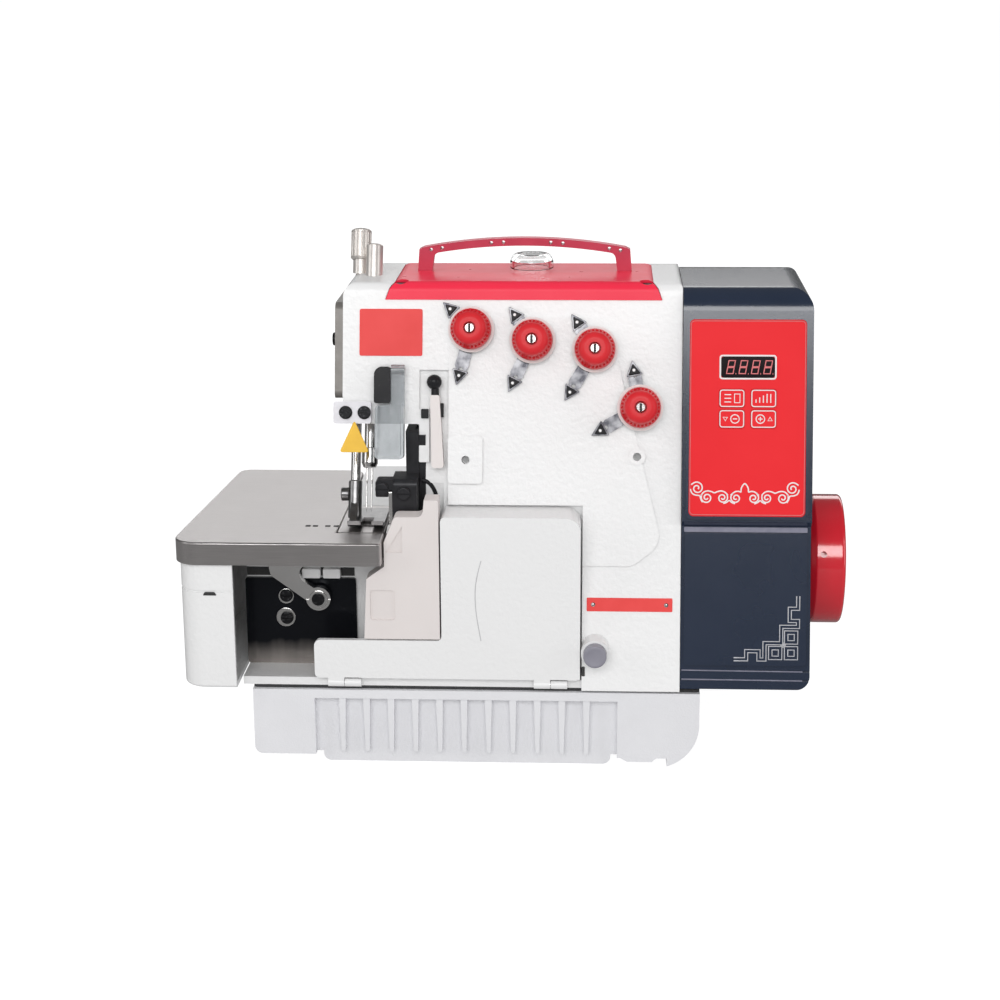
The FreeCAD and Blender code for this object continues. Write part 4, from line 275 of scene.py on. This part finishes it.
def slab(width, height, thick, corner, edge):
    """A rectangular plate, in millimetres."""
    u, v = width / 2, height / 2
    return plate([(-u, -v), (u, -v), (u, v), (-u, v)], thick, corner, edge)


low, high = box_mm("chamber_plate")
for number, (x, z, radius) in enumerate(((-142.4, 100.2, 4.9), (-142.9, 86.5, 6.1))):
    washer = disc(radius, thick=0.6, edge=0.3)
    piece(f"chamber_washer_{number}", washer, bright_steel, "head", upright(x, low.y, z))

bed_wall = -53.2
shade_strip_inset = 1.0
# The dark strip is painted shade in the gaps above the chamber.
chamber_shade_strip = slab(width=high.x - low.x - 2 * shade_strip_inset, height=5.4, thick=0.4, corner=0.3, edge=0.1)
piece("chamber_painted_shade", chamber_shade_strip, dark_marks_and_painted_shade, "head", upright((low.x + high.x) / 2, bed_wall, 115.6))
for number, (x, width) in enumerate(((-126.2, 11.6), (-113.5, 10.9))):
    block = slab(width, height=6.2, thick=4.2, corner=0.9, edge=0.5)
    piece(f"thread_block_{number}", block, white_enamel, "head", upright(x, bed_wall, 115.3))


# The needle bar, its clamp, the needles and the presser bar are ground and polished steel, and the
# presser foot is duller from use. The pressure screw, its lock nut and the needle bar's cap on top
# of the arm are satin nickel.

dress(bright_steel, "needle_bar", "needle_clamp", "needles", "presser_bar")

foot_steel, shader, place = finish("foot_steel", (0.30, 0.30, 0.31), 0.3, 1.0)
place.noise(220.0, 3.0).colours((0.18, 0.18, 0.19), (0.46, 0.455, 0.45)).into(shader, "Base Color")
(0.24 + 0.16 * place.noise(700.0)).into(shader, "Roughness")
dress(foot_steel, "presser_foot")

satin_nickel, shader, place = finish("satin_nickel", (0.80, 0.75, 0.71), 0.34, 0.75)
place.noise(90.0).colours((0.82, 0.77, 0.73), (0.93, 0.89, 0.85)).into(shader, "Base Color")
(0.26 + 0.16 * place.noise(700.0)).into(shader, "Roughness")
dress(satin_nickel, "pressure_screw", "needle_cap", "lock_nut")


# The lower knife is fixed, and the upper one works against it in a holder on a slideway. The blades
# are polished steel. Slideway and holder are blackened steel with a fine ground grain.

dress(bright_steel, "lower_knife", "upper_knife")

blackened_steel, shader, place = finish("blackened_steel", (0.02, 0.02, 0.023), 0.38, 0.35)
grain = place.stretch(0.1, 1.0, 1.0).noise(1500.0)
place.noise(120.0, 3.0).colours((0.014, 0.014, 0.016), (0.045, 0.045, 0.05)).into(shader, "Base Color")
(0.28 + 0.22 * grain).into(shader, "Roughness")
grain.bump(0.12, 0.0003).into(shader, "Normal")
dress(blackened_steel, "knife_guide", "knife_holder")


# The chip chute and the thread oil cup are moulded in a warm cream plastic with a dull skin. The cup
# has a black ball plug, and a white back plate and two black clips behind it on the head's leaning
# front. A black oil pipe runs from the knife's slideway down the wall behind the chute.

cream_plastic, shader, place = finish("cream_plastic", (0.72, 0.67, 0.655), 0.42)
skin = place.noise(1100.0)
place.noise(22.0).colours((0.71, 0.66, 0.645), (0.78, 0.73, 0.715)).into(shader, "Base Color")
(0.34 + 0.16 * skin).into(shader, "Roughness")
skin.bump(0.1, 0.0003).into(shader, "Normal")
dress(cream_plastic, "chip_chute", "oil_cup")

black_plastic, shader, place = finish("black_plastic", (0.018, 0.018, 0.02), 0.25, specular_ior_level=0.18)
place.noise(80.0).colours((0.013, 0.013, 0.015), (0.026, 0.026, 0.028)).into(shader, "Base Color")
(0.18 + 0.14 * place.noise(600.0)).into(shader, "Roughness")
dress(black_plastic, "oil_cup_plug")

face_lean = math.radians(14.0)
face_foot = Vector((-0.63, -85.2, 51.0))


def on_face(across, up, out=0.0):
    """Frame on the leaning front, from millimetres to the right, up from the casting's foot and out."""
    back = up * math.tan(face_lean) - out * math.cos(face_lean)
    spot = face_foot + Vector((across, back, up + out * math.sin(face_lean)))
    return level(*spot) @ Matrix.Rotation(math.radians(90) - face_lean, 4, "X")


def bend(*points):
    """A smooth open path."""
    return points, False, True


def printed(name, paths, look, body, seat, width, rise):
    """Raised lines along flat paths of (points, closed, smooth), all in millimetres."""
    curve = bpy.data.curves.new(name, "CURVE")
    curve.dimensions = "3D"
    curve.bevel_depth = width / 2 * mm
    curve.bevel_resolution = 1
    curve.use_fill_caps = True
    for points, closed, smooth in paths:
        spline = curve.splines.new("NURBS" if smooth else "POLY")
        spline.points.add(len(points) - 1)
        for point, (u, v) in zip(spline.points, points):
            point.co = (u * mm, v * mm, 0, 1)
        spline.use_cyclic_u = closed
        if smooth:
            spline.order_u = 3
            spline.use_endpoint_u = not closed
            spline.resolution_u = 4
    lines = bpy.data.objects.new(name, curve)
    mesh = bpy.data.meshes.new_from_object(lines)
    bpy.data.objects.remove(lines)
    mesh.transform(seat @ Matrix.Diagonal((1, 1, 2 * rise / width, 1)))
    mesh.materials.clear()
    mesh.materials.append(look)
    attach(show(name, mesh), body)


back_plate = slab(width=6.4, height=33.0, thick=3.0, corner=0.8, edge=0.3)
left_clip = slab(width=4.6, height=5.8, thick=2.0, corner=0.6, edge=0.4)
right_clip = slab(width=2.0, height=8.6, thick=2.0, corner=0.5, edge=0.3)
piece("cup_plate", back_plate, white_enamel, "head", on_face(-54.9, 150.4, out=-3.0))
piece("cup_clip_0", left_clip, black_plastic, "head", on_face(-54.5, 163.1))
piece("cup_clip_1", right_clip, black_plastic, "head", on_face(-44.1, 165.2, out=-1.0))

pipe_width = 2.6
pipe_wall = -51.4
pipe_route = bend((-57.0, 174.0), (-54.0, 173.6), (-50.6, 170.2),
                  (-48.3, 164.7), (-47.6, 160.0), (-47.4, 156.5))
printed("oil_pipe", [pipe_route], black_plastic, "head", upright(0.0, pipe_wall, 0.0),
        width=pipe_width, rise=pipe_width / 2)


# The cloth plate is a pressed steel tray on a hinge pin, brushed from left to right, and the needle
# plate set into it is brushed the same way. Short dark stitch marks are printed beside the needles.

brushed_plate, shader, place = finish("brushed_plate", (0.50, 0.475, 0.47), 0.3, 1.0)
brush = place.stretch(0.03, 1.0, 1.0).noise(1800.0, 3.0)
wear = place.noise(18.0, 3.0)
(0.5 * wear + 0.5 * brush).colours((0.42, 0.40, 0.395), (0.70, 0.672, 0.665)).into(shader, "Base Color")
(0.24 + 0.14 * brush + 0.08 * wear).into(shader, "Roughness")
brush.bump(0.22, 0.0003).into(shader, "Normal")
dress(brushed_plate, "cloth_plate", "needle_plate")
dress(bright_steel, "plate_hinge_pin")

mark_row = -57.3
plate_top = box_mm("cloth_plate")[1].z
for number, x in enumerate((-127.1, -122.5, -114.9, -109.7)):
    mark = slab(width=3.2, height=2.6, thick=0.2, corner=0.4, edge=0.08)
    piece(f"stitch_mark_{number}", mark, dark_marks_and_painted_shade, "cloth", level(x, mark_row, plate_top))


# The side cover under the cloth plate is enamelled like the casting, and swings out with the plate.
# A dark eyelet sits in its front wall.

dress(white_enamel, "side_cover")
side_eyelet = plate([(-4.2, -1.2), (4.2, -1.2), (3.0, 1.0), (-3.0, 1.0)], thick=0.3, corner=0.6, edge=0.1)
piece("cover_eyelet", side_eyelet, dark_marks_and_painted_shade, "cloth", upright(-182.7, box_mm("side_cover")[0].y, 113.5))


# The front cover is a casting in the same white enamel and drops open on hinge pins at its foot.
# A faint crease runs down its left half, drawn as a grey line of painted shade.

dress(white_enamel, "front_cover")
dress(bright_steel, "cover_hinge_pins")

# A grey line of painted shade, for a crease and for the edges of a recess.
painted_shade_line, shader, place = finish("painted_shade_line", (0.55, 0.55, 0.56), 0.5)
place.noise(300.0).colours((0.50, 0.50, 0.51), (0.60, 0.60, 0.61)).into(shader, "Base Color")
crease_shade_path = bend((-18.6, 133.2), (-22.0, 121.2), (-22.5, 108.0), (-21.4, 95.8), (-19.0, 82.4))
printed("cover_crease_shade", [crease_shade_path], painted_shade_line, "front", upright(face_foot.x, face_foot.y, 0.0),
        width=0.6, rise=0.1)


# A bare red plate is bonded to the leaning front high on the arm, and a narrow red strip is riveted
# low on the column. A grey line of painted shade runs along the edges of the recessed channel beside
# the accessory boss, and a dark slot of painted shade lies at the front cover's edge beside the
# stitch button.

red_plate, shader, place = finish("red_plate", (0.80, 0.075, 0.072), 0.35, specular_ior_level=0.15)
place.noise(70.0).colours((0.76, 0.065, 0.062), (0.84, 0.09, 0.088)).into(shader, "Base Color")
(0.28 + 0.12 * place.noise(400.0)).into(shader, "Roughness")
badge = slab(width=38.5, height=28.6, thick=0.5, corner=1.2, edge=0.2)
piece("bare_badge", badge, red_plate, "head", on_face(-75.5, 211.0))

strip_up = 51.2
strip_thick = 0.4
rivet_radius = 1.4
rivet_crown = 0.6
strip = slab(width=52.0, height=8.3, thick=strip_thick, corner=0.6, edge=0.15)
piece("bare_strip", strip, red_plate, "head", on_face(70.8, strip_up))
for number, x in enumerate((48.7, 93.0)):
    rivet = bmesh.new()
    bmesh.ops.create_uvsphere(rivet, u_segments=16, v_segments=8, radius=rivet_radius * mm,
                              matrix=Matrix.Diagonal((1, 1, rivet_crown, 1)))
    bmesh.ops.bisect_plane(rivet, geom=rivet.verts[:] + rivet.edges[:] + rivet.faces[:],
                           plane_co=(0, 0, 0), plane_no=(0, 0, -1), clear_outer=True)
    piece(f"strip_rivet_{number}", rivet, bright_steel, "head", on_face(x, strip_up, strip_thick))


def line(*points):
    """An open path with sharp corners."""
    return points, False, False


# The grey line is painted shade along the top and right edges of the recessed channel under the boss.
boss_shade_path = line((-14.9, 7.5), (-0.6, 7.5), (0.7, -7.5))
printed("boss_channel_shade", [boss_shade_path], painted_shade_line, "head", on_face(-23.0, 110.7), width=1.0, rise=0.3)
# The dark slot is painted shade in the gap at the front cover's right edge.
slot = slab(width=2.0, height=6.0, thick=0.2, corner=0.6, edge=0.08)
piece("slot_shade_by_button", slot, dark_marks_and_painted_shade, "head", on_face(43.0, 11.5))


# The end plate is plain cast aluminium, dulled to a brownish grey. A black screw holds it on the end
# of the arm.

end_plate, shader, place = finish("end_plate", (0.24, 0.225, 0.21), 0.42, 0.5)
place.noise(120.0, 3.0).colours((0.20, 0.187, 0.175), (0.28, 0.265, 0.25)).into(shader, "Base Color")
(0.34 + 0.2 * place.noise(500.0)).into(shader, "Roughness")
dress(end_plate, "face_plate")


# The guard bracket is zinc-plated steel held by two screws, and a plain yellow tab hangs under it.
# The smoked plastic eye guard swings on a black block.

bracket_zinc, shader, place = finish("bracket_zinc", (0.46, 0.455, 0.48), 0.46, 0.5)
place.noise(140.0, 3.0).colours((0.62, 0.61, 0.64), (0.80, 0.79, 0.82)).into(shader, "Base Color")
(0.38 + 0.18 * place.noise(500.0)).into(shader, "Roughness")
dress(bracket_zinc, "guard_bracket")
dress(black_plastic, "eye_guard_block")

smoked_plastic, shader, place = finish("smoked_plastic", (0.62, 0.65, 0.67), 0.1,
                                       ior=1.49, transmission_weight=0.72)
scuff = place.stretch(1.0, 1.0, 0.3).noise(260.0, 3.0)
scuff.colours((0.50, 0.53, 0.55), (0.78, 0.81, 0.83)).into(shader, "Base Color")
(0.06 + 0.2 * scuff.between(0.5, 0.7)).into(shader, "Roughness")
dress(smoked_plastic, "eye_guard")

yellow_tab, shader, place = finish("yellow_tab", (0.85, 0.50, 0.03), 0.4)
place.noise(200.0).colours((0.80, 0.46, 0.025), (0.90, 0.55, 0.04)).into(shader, "Base Color")
tab = plate([(0, 12.8), (-9.1, -6.8), (9.1, -6.8)], thick=1.0, corner=2.0, edge=0.3)
piece("plain_tab", tab, yellow_tab, "head", on_face(-97.0, 146.6, out=5.0))


# The top cover and the thread handle are die castings in gloss red lacquer, screwed down on the
# casting. The oil sight between them is a clear moulded dome.

red_lacquer, shader, place = finish("red_lacquer", (0.86, 0.03, 0.07), 0.3, specular_ior_level=0.25)
place.noise(14.0).colours((0.82, 0.024, 0.062), (0.90, 0.036, 0.078)).into(shader, "Base Color")
(0.24 + 0.12 * place.noise(90.0)).into(shader, "Roughness")
place.noise(420.0).bump(0.06, 0.0004).into(shader, "Normal")
dress(red_lacquer, "top_cover")

handle_lacquer, shader, place = finish("handle_lacquer", (0.52, 0.05, 0.09), 0.3, 0.3)
place.noise(60.0).colours((0.56, 0.05, 0.092), (0.70, 0.082, 0.138)).into(shader, "Base Color")
(0.24 + 0.14 * place.noise(300.0)).into(shader, "Roughness")
dress(handle_lacquer, "thread_handle")

clear_plastic, shader, place = finish("clear_plastic", (0.93, 0.95, 0.95), 0.06,
                                      ior=1.49, transmission_weight=1.0)
(0.04 + 0.1 * place.noise(120.0, 3.0).between(0.5, 0.75)).into(shader, "Roughness")
dress(clear_plastic, "oil_sight")


# Each tension is a plated thread bracket with eyelets at its two ends, a pale felt-faced disc and a
# ribbed red knob, stacked on a slotted steel post that is fixed in the leaning front. A black triangle
# in each eyelet is painted shade in its opening, and a white dot on it is a painted highlight. A dark
# bar on each post is painted shade in its slot.

dress(bright_steel, "tension_posts")

plated_strip, shader, place = finish("plated_strip", (0.30, 0.30, 0.32), 0.3, 1.0)
smear = place.noise(160.0, 3.0)
smear.between(0.35, 0.65).colours((0.10, 0.10, 0.115), (0.40, 0.40, 0.42)).into(shader, "Base Color")
(0.20 + 0.2 * smear).into(shader, "Roughness")
dress(plated_strip, "thread_brackets")

pale_disc, shader, place = finish("pale_disc", (0.66, 0.58, 0.58), 0.6)
place.noise(300.0, 3.0).colours((0.76, 0.69, 0.68), (0.88, 0.83, 0.82)).into(shader, "Base Color")
place.noise(1600.0).bump(0.2, 0.0003).into(shader, "Normal")
dress(pale_disc, "tension_discs")

knob_red, shader, place = finish("knob_red", (0.66, 0.022, 0.03), 0.3, specular_ior_level=0.3)
place.noise(60.0).colours((0.61, 0.018, 0.026), (0.71, 0.028, 0.036)).into(shader, "Base Color")
(0.28 + 0.16 * place.noise(500.0)).into(shader, "Roughness")
dress(knob_red, *[f"tension_knob_{number}" for number in range(1, 5)])

bracket_out = 4.0
shaded_opening_thick = 2.2
highlight_out = bracket_out + shaded_opening_thick - 0.1
post_out = 26.0
for stack, (x, up, arms) in enumerate(((-26.1, 212.6, ((-13.0, 12.0), (-7.5, -27.0))),
                                       (11.0, 206.3, ((-11.0, 15.0), (-12.0, -25.0))),
                                       (48.7, 201.1, ((-11.0, 16.0), (-15.0, -25.0))),
                                       (76.2, 167.2, ((-4.0, 22.0), (-24.0, -13.5))))):
    for end, (arm_x, arm_up) in enumerate(arms):
        seat = on_face(x + arm_x, up + arm_up, bracket_out)
        seat = seat @ Matrix.Rotation(math.atan2(arm_up, arm_x), 4, "Z")
        rim = plate([(-3.5, -5.2), (6.4, 0), (-3.5, 5.2)], thick=0.7, corner=1.0, edge=0.25)
        piece(f"eyelet_frame_{stack}_{end}", rim, plated_strip, "head", seat)
        # The black triangle is painted shade in the eyelet's opening.
        shaded_opening = plate([(-2.7, -4.0), (4.2, 0), (-2.7, 4.0)], shaded_opening_thick, corner=0.9, edge=0.6)
        piece(f"eyelet_{stack}_{end}", shaded_opening, black_plastic, "head", seat)
        # The white dot is a painted highlight on the eyelet.
        highlight_dot = disc(radius=0.9, thick=0.2, edge=0.05)
        piece(f"eyelet_highlight_{stack}_{end}", highlight_dot, white_enamel, "head",
              on_face(x + arm_x, up + arm_up, highlight_out))
    # The dark bar is painted shade in the post's slot.
    slot = slab(width=1.5, height=4.4, thick=0.1, corner=0.2, edge=0.04)
    piece(f"post_slot_shade_{stack}", slot, dark_marks_and_painted_shade, "head", on_face(x, up, post_out))


# The stitch button is moulded in grey plastic with a dished end. It slides in a boss on the front of
# the casting.

grey_plastic, shader, place = finish("grey_plastic", (0.25, 0.245, 0.29), 0.4)
place.noise(90.0).colours((0.22, 0.215, 0.26), (0.29, 0.285, 0.33)).into(shader, "Base Color")
(0.32 + 0.14 * place.noise(500.0)).into(shader, "Roughness")
dress(grey_plastic, "stitch_button")


# The motor housing is a navy moulding with a fine spark-eroded grain, fixed to the end of the
# casting. A traditional corner fret is printed in silver on its lower panel, a light strip in the step
# above it is a painted highlight where the step's edge catches the light, and two lines run along its
# foot.

navy_shell, shader, place = finish("navy_shell", (0.014, 0.024, 0.048), 0.2, specular_ior_level=0.8,
                                   coat_weight=0.4, coat_roughness=0.14)
spark = place.noise(800.0, 3.0)
place.noise(30.0).colours((0.011, 0.020, 0.042), (0.018, 0.028, 0.055)).into(shader, "Base Color")
(0.14 + 0.10 * spark).into(shader, "Roughness")
spark.bump(0.08, 0.0003).into(shader, "Normal")
dress(navy_shell, "motor_housing")

silver_print, shader, place = finish("silver_print", (0.55, 0.55, 0.58), 0.4, 0.3)
place.noise(300.0).colours((0.50, 0.50, 0.53), (0.62, 0.62, 0.65)).into(shader, "Base Color")


def loop(*points):
    """A closed path with sharp corners."""
    return points, True, False


def cornered(half):
    """Completes half of a fret line with its mirror image across the corner's diagonal."""
    return line(*half, *[(-v, -u) for u, v in reversed(half[:-1])])


outer_half = [(-40.0, 0.5), (-31.5, 0.5), (-31.5, 5.5), (-26.0, 5.5),
              (-26.0, 0.5), (-20.5, 0.5), (-20.5, 10.5), (-10.5, 10.5)]
inner_half = [(-40.0, 2.4), (-33.4, 2.4), (-33.4, 7.4), (-24.1, 7.4),
              (-24.1, 2.4), (-22.4, 2.4), (-22.4, 12.4), (-12.4, 12.4)]
fret = [cornered(outer_half), cornered(inner_half)]
for u, v in ((-5.5, 5.5), (-15.0, 5.5), (-5.5, 15.0)):
    for half in (4.0, 1.9):
        fret.append(loop(*[(u + a * half, v + b * half) for a, b in ((-1, -1), (1, -1), (1, 1), (-1, 1))]))
fret.append(line((-10.3, 8.6), (-10.3, 12.0)))
fret.append(line((-12.0, 10.3), (-8.6, 10.3)))
printed("corner_fret", fret, silver_print, "head", on_face(174.0, 18.5, out=1.2), width=0.8, rise=0.15)

# A lilac grey for the painted highlight in the step and for the two lines along the housing's foot.
step_highlight_and_foot_lines, shader, place = finish("step_highlight_and_foot_lines", (0.20, 0.20, 0.27), 0.35)
place.noise(200.0, 3.0).colours((0.13, 0.13, 0.19), (0.27, 0.27, 0.34)).into(shader, "Base Color")
foot_pair = [line((-36.4, 2.9), (36.6, 2.6)), line((-36.4, -2.6), (36.6, -2.9))]
printed("foot_lines", foot_pair, step_highlight_and_foot_lines, "head", on_face(139.0, 10.2), width=0.9, rise=0.3)
# The light strip is a painted highlight where the step's edge catches the light.
step_highlight = slab(width=74.4, height=3.2, thick=0.8, corner=0.6, edge=0.3)
piece("step_highlight_strip", step_highlight, step_highlight_and_foot_lines, "head", on_face(140.6, 96.0))


# The handwheel is turned from aluminium and coated in a deep gloss red. It is fixed on the end of the
# motor shaft.

wheel_gloss, shader, place = finish("wheel_gloss", (0.56, 0.006, 0.022), 0.16, specular_ior_level=1.0,
                                    coat_weight=1.0, coat_roughness=0.1)
place.noise(40.0).colours((0.64, 0.004, 0.017), (0.74, 0.007, 0.024)).into(shader, "Base Color")
(0.12 + 0.08 * place.noise(260.0)).into(shader, "Roughness")
dress(wheel_gloss, "handwheel")


# The control panel is a red membrane bonded to the motor housing, over a green circuit board. It has
# a dark display window, four keys, white prints and a traditional scroll border along its foot.

red_membrane, shader, place = finish("red_membrane", (0.80, 0.022, 0.03), 0.5, specular_ior_level=0.12)
skin = place.noise(1500.0)
place.noise(26.0).colours((0.77, 0.018, 0.025), (0.84, 0.028, 0.036)).into(shader, "Base Color")
(0.34 + 0.14 * skin).into(shader, "Roughness")
skin.bump(0.06, 0.0002).into(shader, "Normal")
dress(red_membrane, "control_panel", *[f"panel_key_{number}" for number in range(1, 5)])

dark_window, shader, place = finish("dark_window", (0.008, 0.005, 0.007), 0.12, specular_ior_level=0.1)
(0.08 + 0.1 * place.noise(200.0)).into(shader, "Roughness")
dress(dark_window, "display_window")

green_board, shader, place = finish("green_board", (0.02, 0.14, 0.06), 0.35)
place.noise(250.0, 3.0).colours((0.015, 0.11, 0.045), (0.04, 0.19, 0.08)).into(shader, "Base Color")
dress(green_board, "control_board")

white_print, shader, place = finish("white_print", (0.86, 0.80, 0.80), 0.5)
place.noise(400.0).colours((0.82, 0.74, 0.74), (0.90, 0.85, 0.85)).into(shader, "Base Color")

# Red of the display's segments, also a painted highlight along the panel's edge.
segment_red_and_edge_highlight, shader, place = finish("segment_red_and_edge_highlight", (0.74, 0.18, 0.19), 0.4)
place.noise(600.0).colours((0.66, 0.14, 0.15), (0.82, 0.23, 0.24)).into(shader, "Base Color")


def ring(half_wide, half_high, corner):
    """A closed rounded rectangle."""
    points = []
    for turn, (su, sv) in enumerate(((1, 1), (-1, 1), (-1, -1), (1, -1))):
        for step in range(4):
            angle = math.radians(90 * turn + 30 * step)
            points.append((su * (half_wide - corner) + corner * math.cos(angle),
                           sv * (half_high - corner) + corner * math.sin(angle)))
    return loop(*points)


def circle(u, radius):
    """A closed round path about a point on the middle line."""
    angles = [math.radians(30 * step) for step in range(12)]
    return loop(*[(u + radius * math.cos(angle), radius * math.sin(angle)) for angle in angles])


panel_x = 140.7
panel_out = 6.0
display_up = 191.2
printed("display_border", [ring(half_wide=16.6, half_high=6.9, corner=1.2)], white_print, "head",
        on_face(panel_x, display_up, panel_out + 0.05), width=1.2, rise=0.2)
# The line round the panel is a painted highlight along the bezel's inner edges.
printed("panel_edge_highlight", [ring(half_wide=34.3, half_high=58.3, corner=2.2)], segment_red_and_edge_highlight, "head",
        on_face(panel_x, 161.5, panel_out), width=0.5, rise=0.1)

digit_wide = 3.9
digit_pitch = 7.4
digit_slant = 0.18
segments = []
for digit in range(4):
    left = -12.2 + digit_pitch * digit
    right = left + digit_wide
    for foot, head in ((0.3, 3.9), (-3.9, -0.3)):
        foot_lean, head_lean = digit_slant * foot, digit_slant * head
        segments.append(loop((left + foot_lean, foot), (right + foot_lean, foot),
                             (right + head_lean, head), (left + head_lean, head)))
    segments.append(line((left + 4.7, -4.0), (left + 5.1, -4.0)))
printed("display_segments", segments, segment_red_and_edge_highlight, "head",
        on_face(panel_x, display_up, panel_out + 0.3), width=0.9, rise=0.1)

key_pitch, row_pitch, keys_up = 19.0, 12.0, 173.0
list_sign = [line((-4.5, v), (-0.5, v)) for v in (-2.2, 0.0, 2.2)]
list_sign.append(loop((1.5, -2.6), (1.5, 2.6), (4.8, 2.6), (4.8, -2.6)))
bars = ((-4.6, -0.6), (-2.4, 0.6), (-0.2, 1.8), (2.0, 2.8), (4.2, 2.8))
bar_sign = [line((u, -2.6), (u, top)) for u, top in bars]
minus_sign = [loop((-5.2, 1.0), (-2.6, 1.0), (-3.9, -1.2)), circle(1.9, 2.6), line((0.6, 0.0), (3.2, 0.0))]
plus_sign = [loop((2.6, -1.0), (5.2, -1.0), (3.9, 1.2)), circle(-1.9, 2.6),
             line((-3.2, 0.0), (-0.6, 0.0)), line((-1.9, -1.3), (-1.9, 1.3))]
for key, sign in enumerate((list_sign, bar_sign, minus_sign, plus_sign)):
    x = panel_x + (key % 2 - 0.5) * key_pitch
    border = ring(half_wide=7.1, half_high=4.9, corner=1.4)
    printed(f"key_print_{key + 1}", [border, *sign], white_print, f"key_{key + 1}",
            on_face(x, keys_up - key // 2 * row_pitch, panel_out + 0.4), width=0.7, rise=0.12)


scroll_turns = 1.55
scroll_core = 0.18
scroll_steps = 18


def scroll(u, v, size, start, way):
    """The points of a spiral that winds in from its outer end, clockwise where way is -1."""
    points = []
    for step in range(scroll_steps + 1):
        share = step / scroll_steps
        angle = math.radians(start + way * 360.0 * scroll_turns * share)
        reach = size * (1 - (1 - scroll_core) * share)
        points.append((u + reach * math.cos(angle), v + reach * math.sin(angle)))
    return points


tendrils = [scroll(-28.6, 5.7, size=4.1, start=150, way=-1),
            scroll(-22.8, 0.0, size=3.6, start=150, way=1),
            scroll(-13.3, 0.0, size=3.3, start=30, way=-1),
            scroll(-5.3, -0.1, size=3.4, start=120, way=1),
            [(-32.6, 5.2), (-32.2, 2.6), (-29.4, 1.3), (-26.8, 1.4), (-26.4, -1.2), (-25.2, -2.8)],
            [(-26.2, 1.2), (-25.0, 3.4), (-22.3, 4.2), (-19.8, 3.7), (-18.2, 2.7),
             (-16.6, 3.7), (-14.2, 4.2), (-11.6, 3.5), (-10.2, 1.6)],
            [(-12.8, -3.4), (-10.8, -3.0), (-9.2, -1.2), (-7.8, -3.0), (-5.8, -3.5)],
            [(-8.4, 1.6), (-6.4, 3.7), (-3.6, 4.1), (-2.1, 3.2), (-2.3, 5.4), (-1.2, 7.8), (0.0, 8.8)]]
scrolls = [bend(*[(-side * u, v) for u, v in tendril]) for side in (-1, 1) for tendril in tendrils]
printed("scroll_border", scrolls, white_print, "head", on_face(139.4, 114.9, panel_out),
        width=0.9, rise=0.12)


# Stage: a floor and a sky that stay white to the eye and are dim in reflections, so that metal and
# lacquer show the soft boxes round them. The camera looks from the photograph's own angle.

def seen(start, straight, gloss, other):
    """A strength for rays from the eye, straight or through glass, for reflections and for the rest."""
    eye, glass, shine = [start.add("LightPath", {}, {}, f"Is {kind} Ray")
                         for kind in ("Camera", "Transmission", "Glossy")]
    return other + start.combine("MINIMUM", eye + glass, 1.0) * (straight - other) + shine * (gloss - other)


pale_floor = bpy.data.materials.new("pale_floor")
pale_floor.use_nodes = True
start = Wire(pale_floor.node_tree)
matt = start.add("BsdfDiffuse", {}, {"Color": (0.25, 0.25, 0.25, 1)})
glow = start.add("Emission", {}, {"Color": (1, 1, 1, 1), "Strength": seen(start, 0.92, 0.03, 0.3)})
both = start.add("AddShader", {}, {"Shader": matt, "Shader_001": glow})
both.into(pale_floor.node_tree.nodes["Material Output"], "Surface")

ground = bmesh.new()
bmesh.ops.create_grid(ground, x_segments=1, y_segments=1, size=40.0)
floor_mesh = bpy.data.meshes.new("floor")
ground.to_mesh(floor_mesh)
ground.free()
floor_mesh.materials.append(pale_floor)
show("floor", floor_mesh)

world = bpy.data.worlds.new("studio")
world.use_nodes = True
sky = world.node_tree.nodes["Background"]
sky.inputs["Color"].default_value = (1, 1, 1, 1)
seen(Wire(world.node_tree), 1.0, 0.12, 0.4).into(sky, "Strength")
bpy.context.scene.world = world

aim = Vector((0.0, 0.0, 0.15))
for name, spot, width, height, power, mirrored in (("front", (-0.1, -2.3, 1.4), 2.0, 0.9, 26.0, True),
                                                   ("low", (0.1, -2.2, 0.45), 2.2, 0.7, 9.0, False),
                                                   ("right", (2.0, -0.8, 0.75), 0.8, 1.5, 6.0, True),
                                                   ("left", (-2.0, -0.9, 0.9), 0.8, 1.5, 6.0, True),
                                                   ("top", (0.0, 0.3, 2.1), 1.6, 1.0, 6.0, False),
                                                   ("back", (0.0, 2.4, 1.1), 4.0, 0.7, 15.0, True)):
    lamp = bpy.data.lights.new(name, "AREA")
    lamp.shape = "RECTANGLE"
    lamp.size = width
    lamp.size_y = height
    lamp.energy = power
    holder = show(name, lamp)
    holder.location = spot
    holder.rotation_euler = (aim - Vector(spot)).to_track_quat("-Z", "Y").to_euler()
    holder.visible_glossy = mirrored

pitch, yaw, roll = math.radians(15.5), math.radians(3.0), math.radians(-0.35)
standpoint = Matrix.Translation((0.0539, -1.2580, 0.4969))
ahead = Vector((-math.sin(yaw) * math.cos(pitch), math.cos(yaw) * math.cos(pitch), -math.sin(pitch)))
side = ahead.cross(Vector((0, 0, 1))).normalized()
above = side.cross(ahead)
side, above = side * math.cos(roll) + above * math.sin(roll), above * math.cos(roll) - side * math.sin(roll)
lens = bpy.data.cameras.new("camera")
lens.sensor_width = 36.0
lens.lens = 73.8
camera = show("camera", lens)
camera.matrix_world = standpoint @ Matrix((side, above, -ahead)).transposed().to_4x4()
bpy.context.scene.camera = camera
bpy.context.scene.view_settings.view_transform = "Standard"
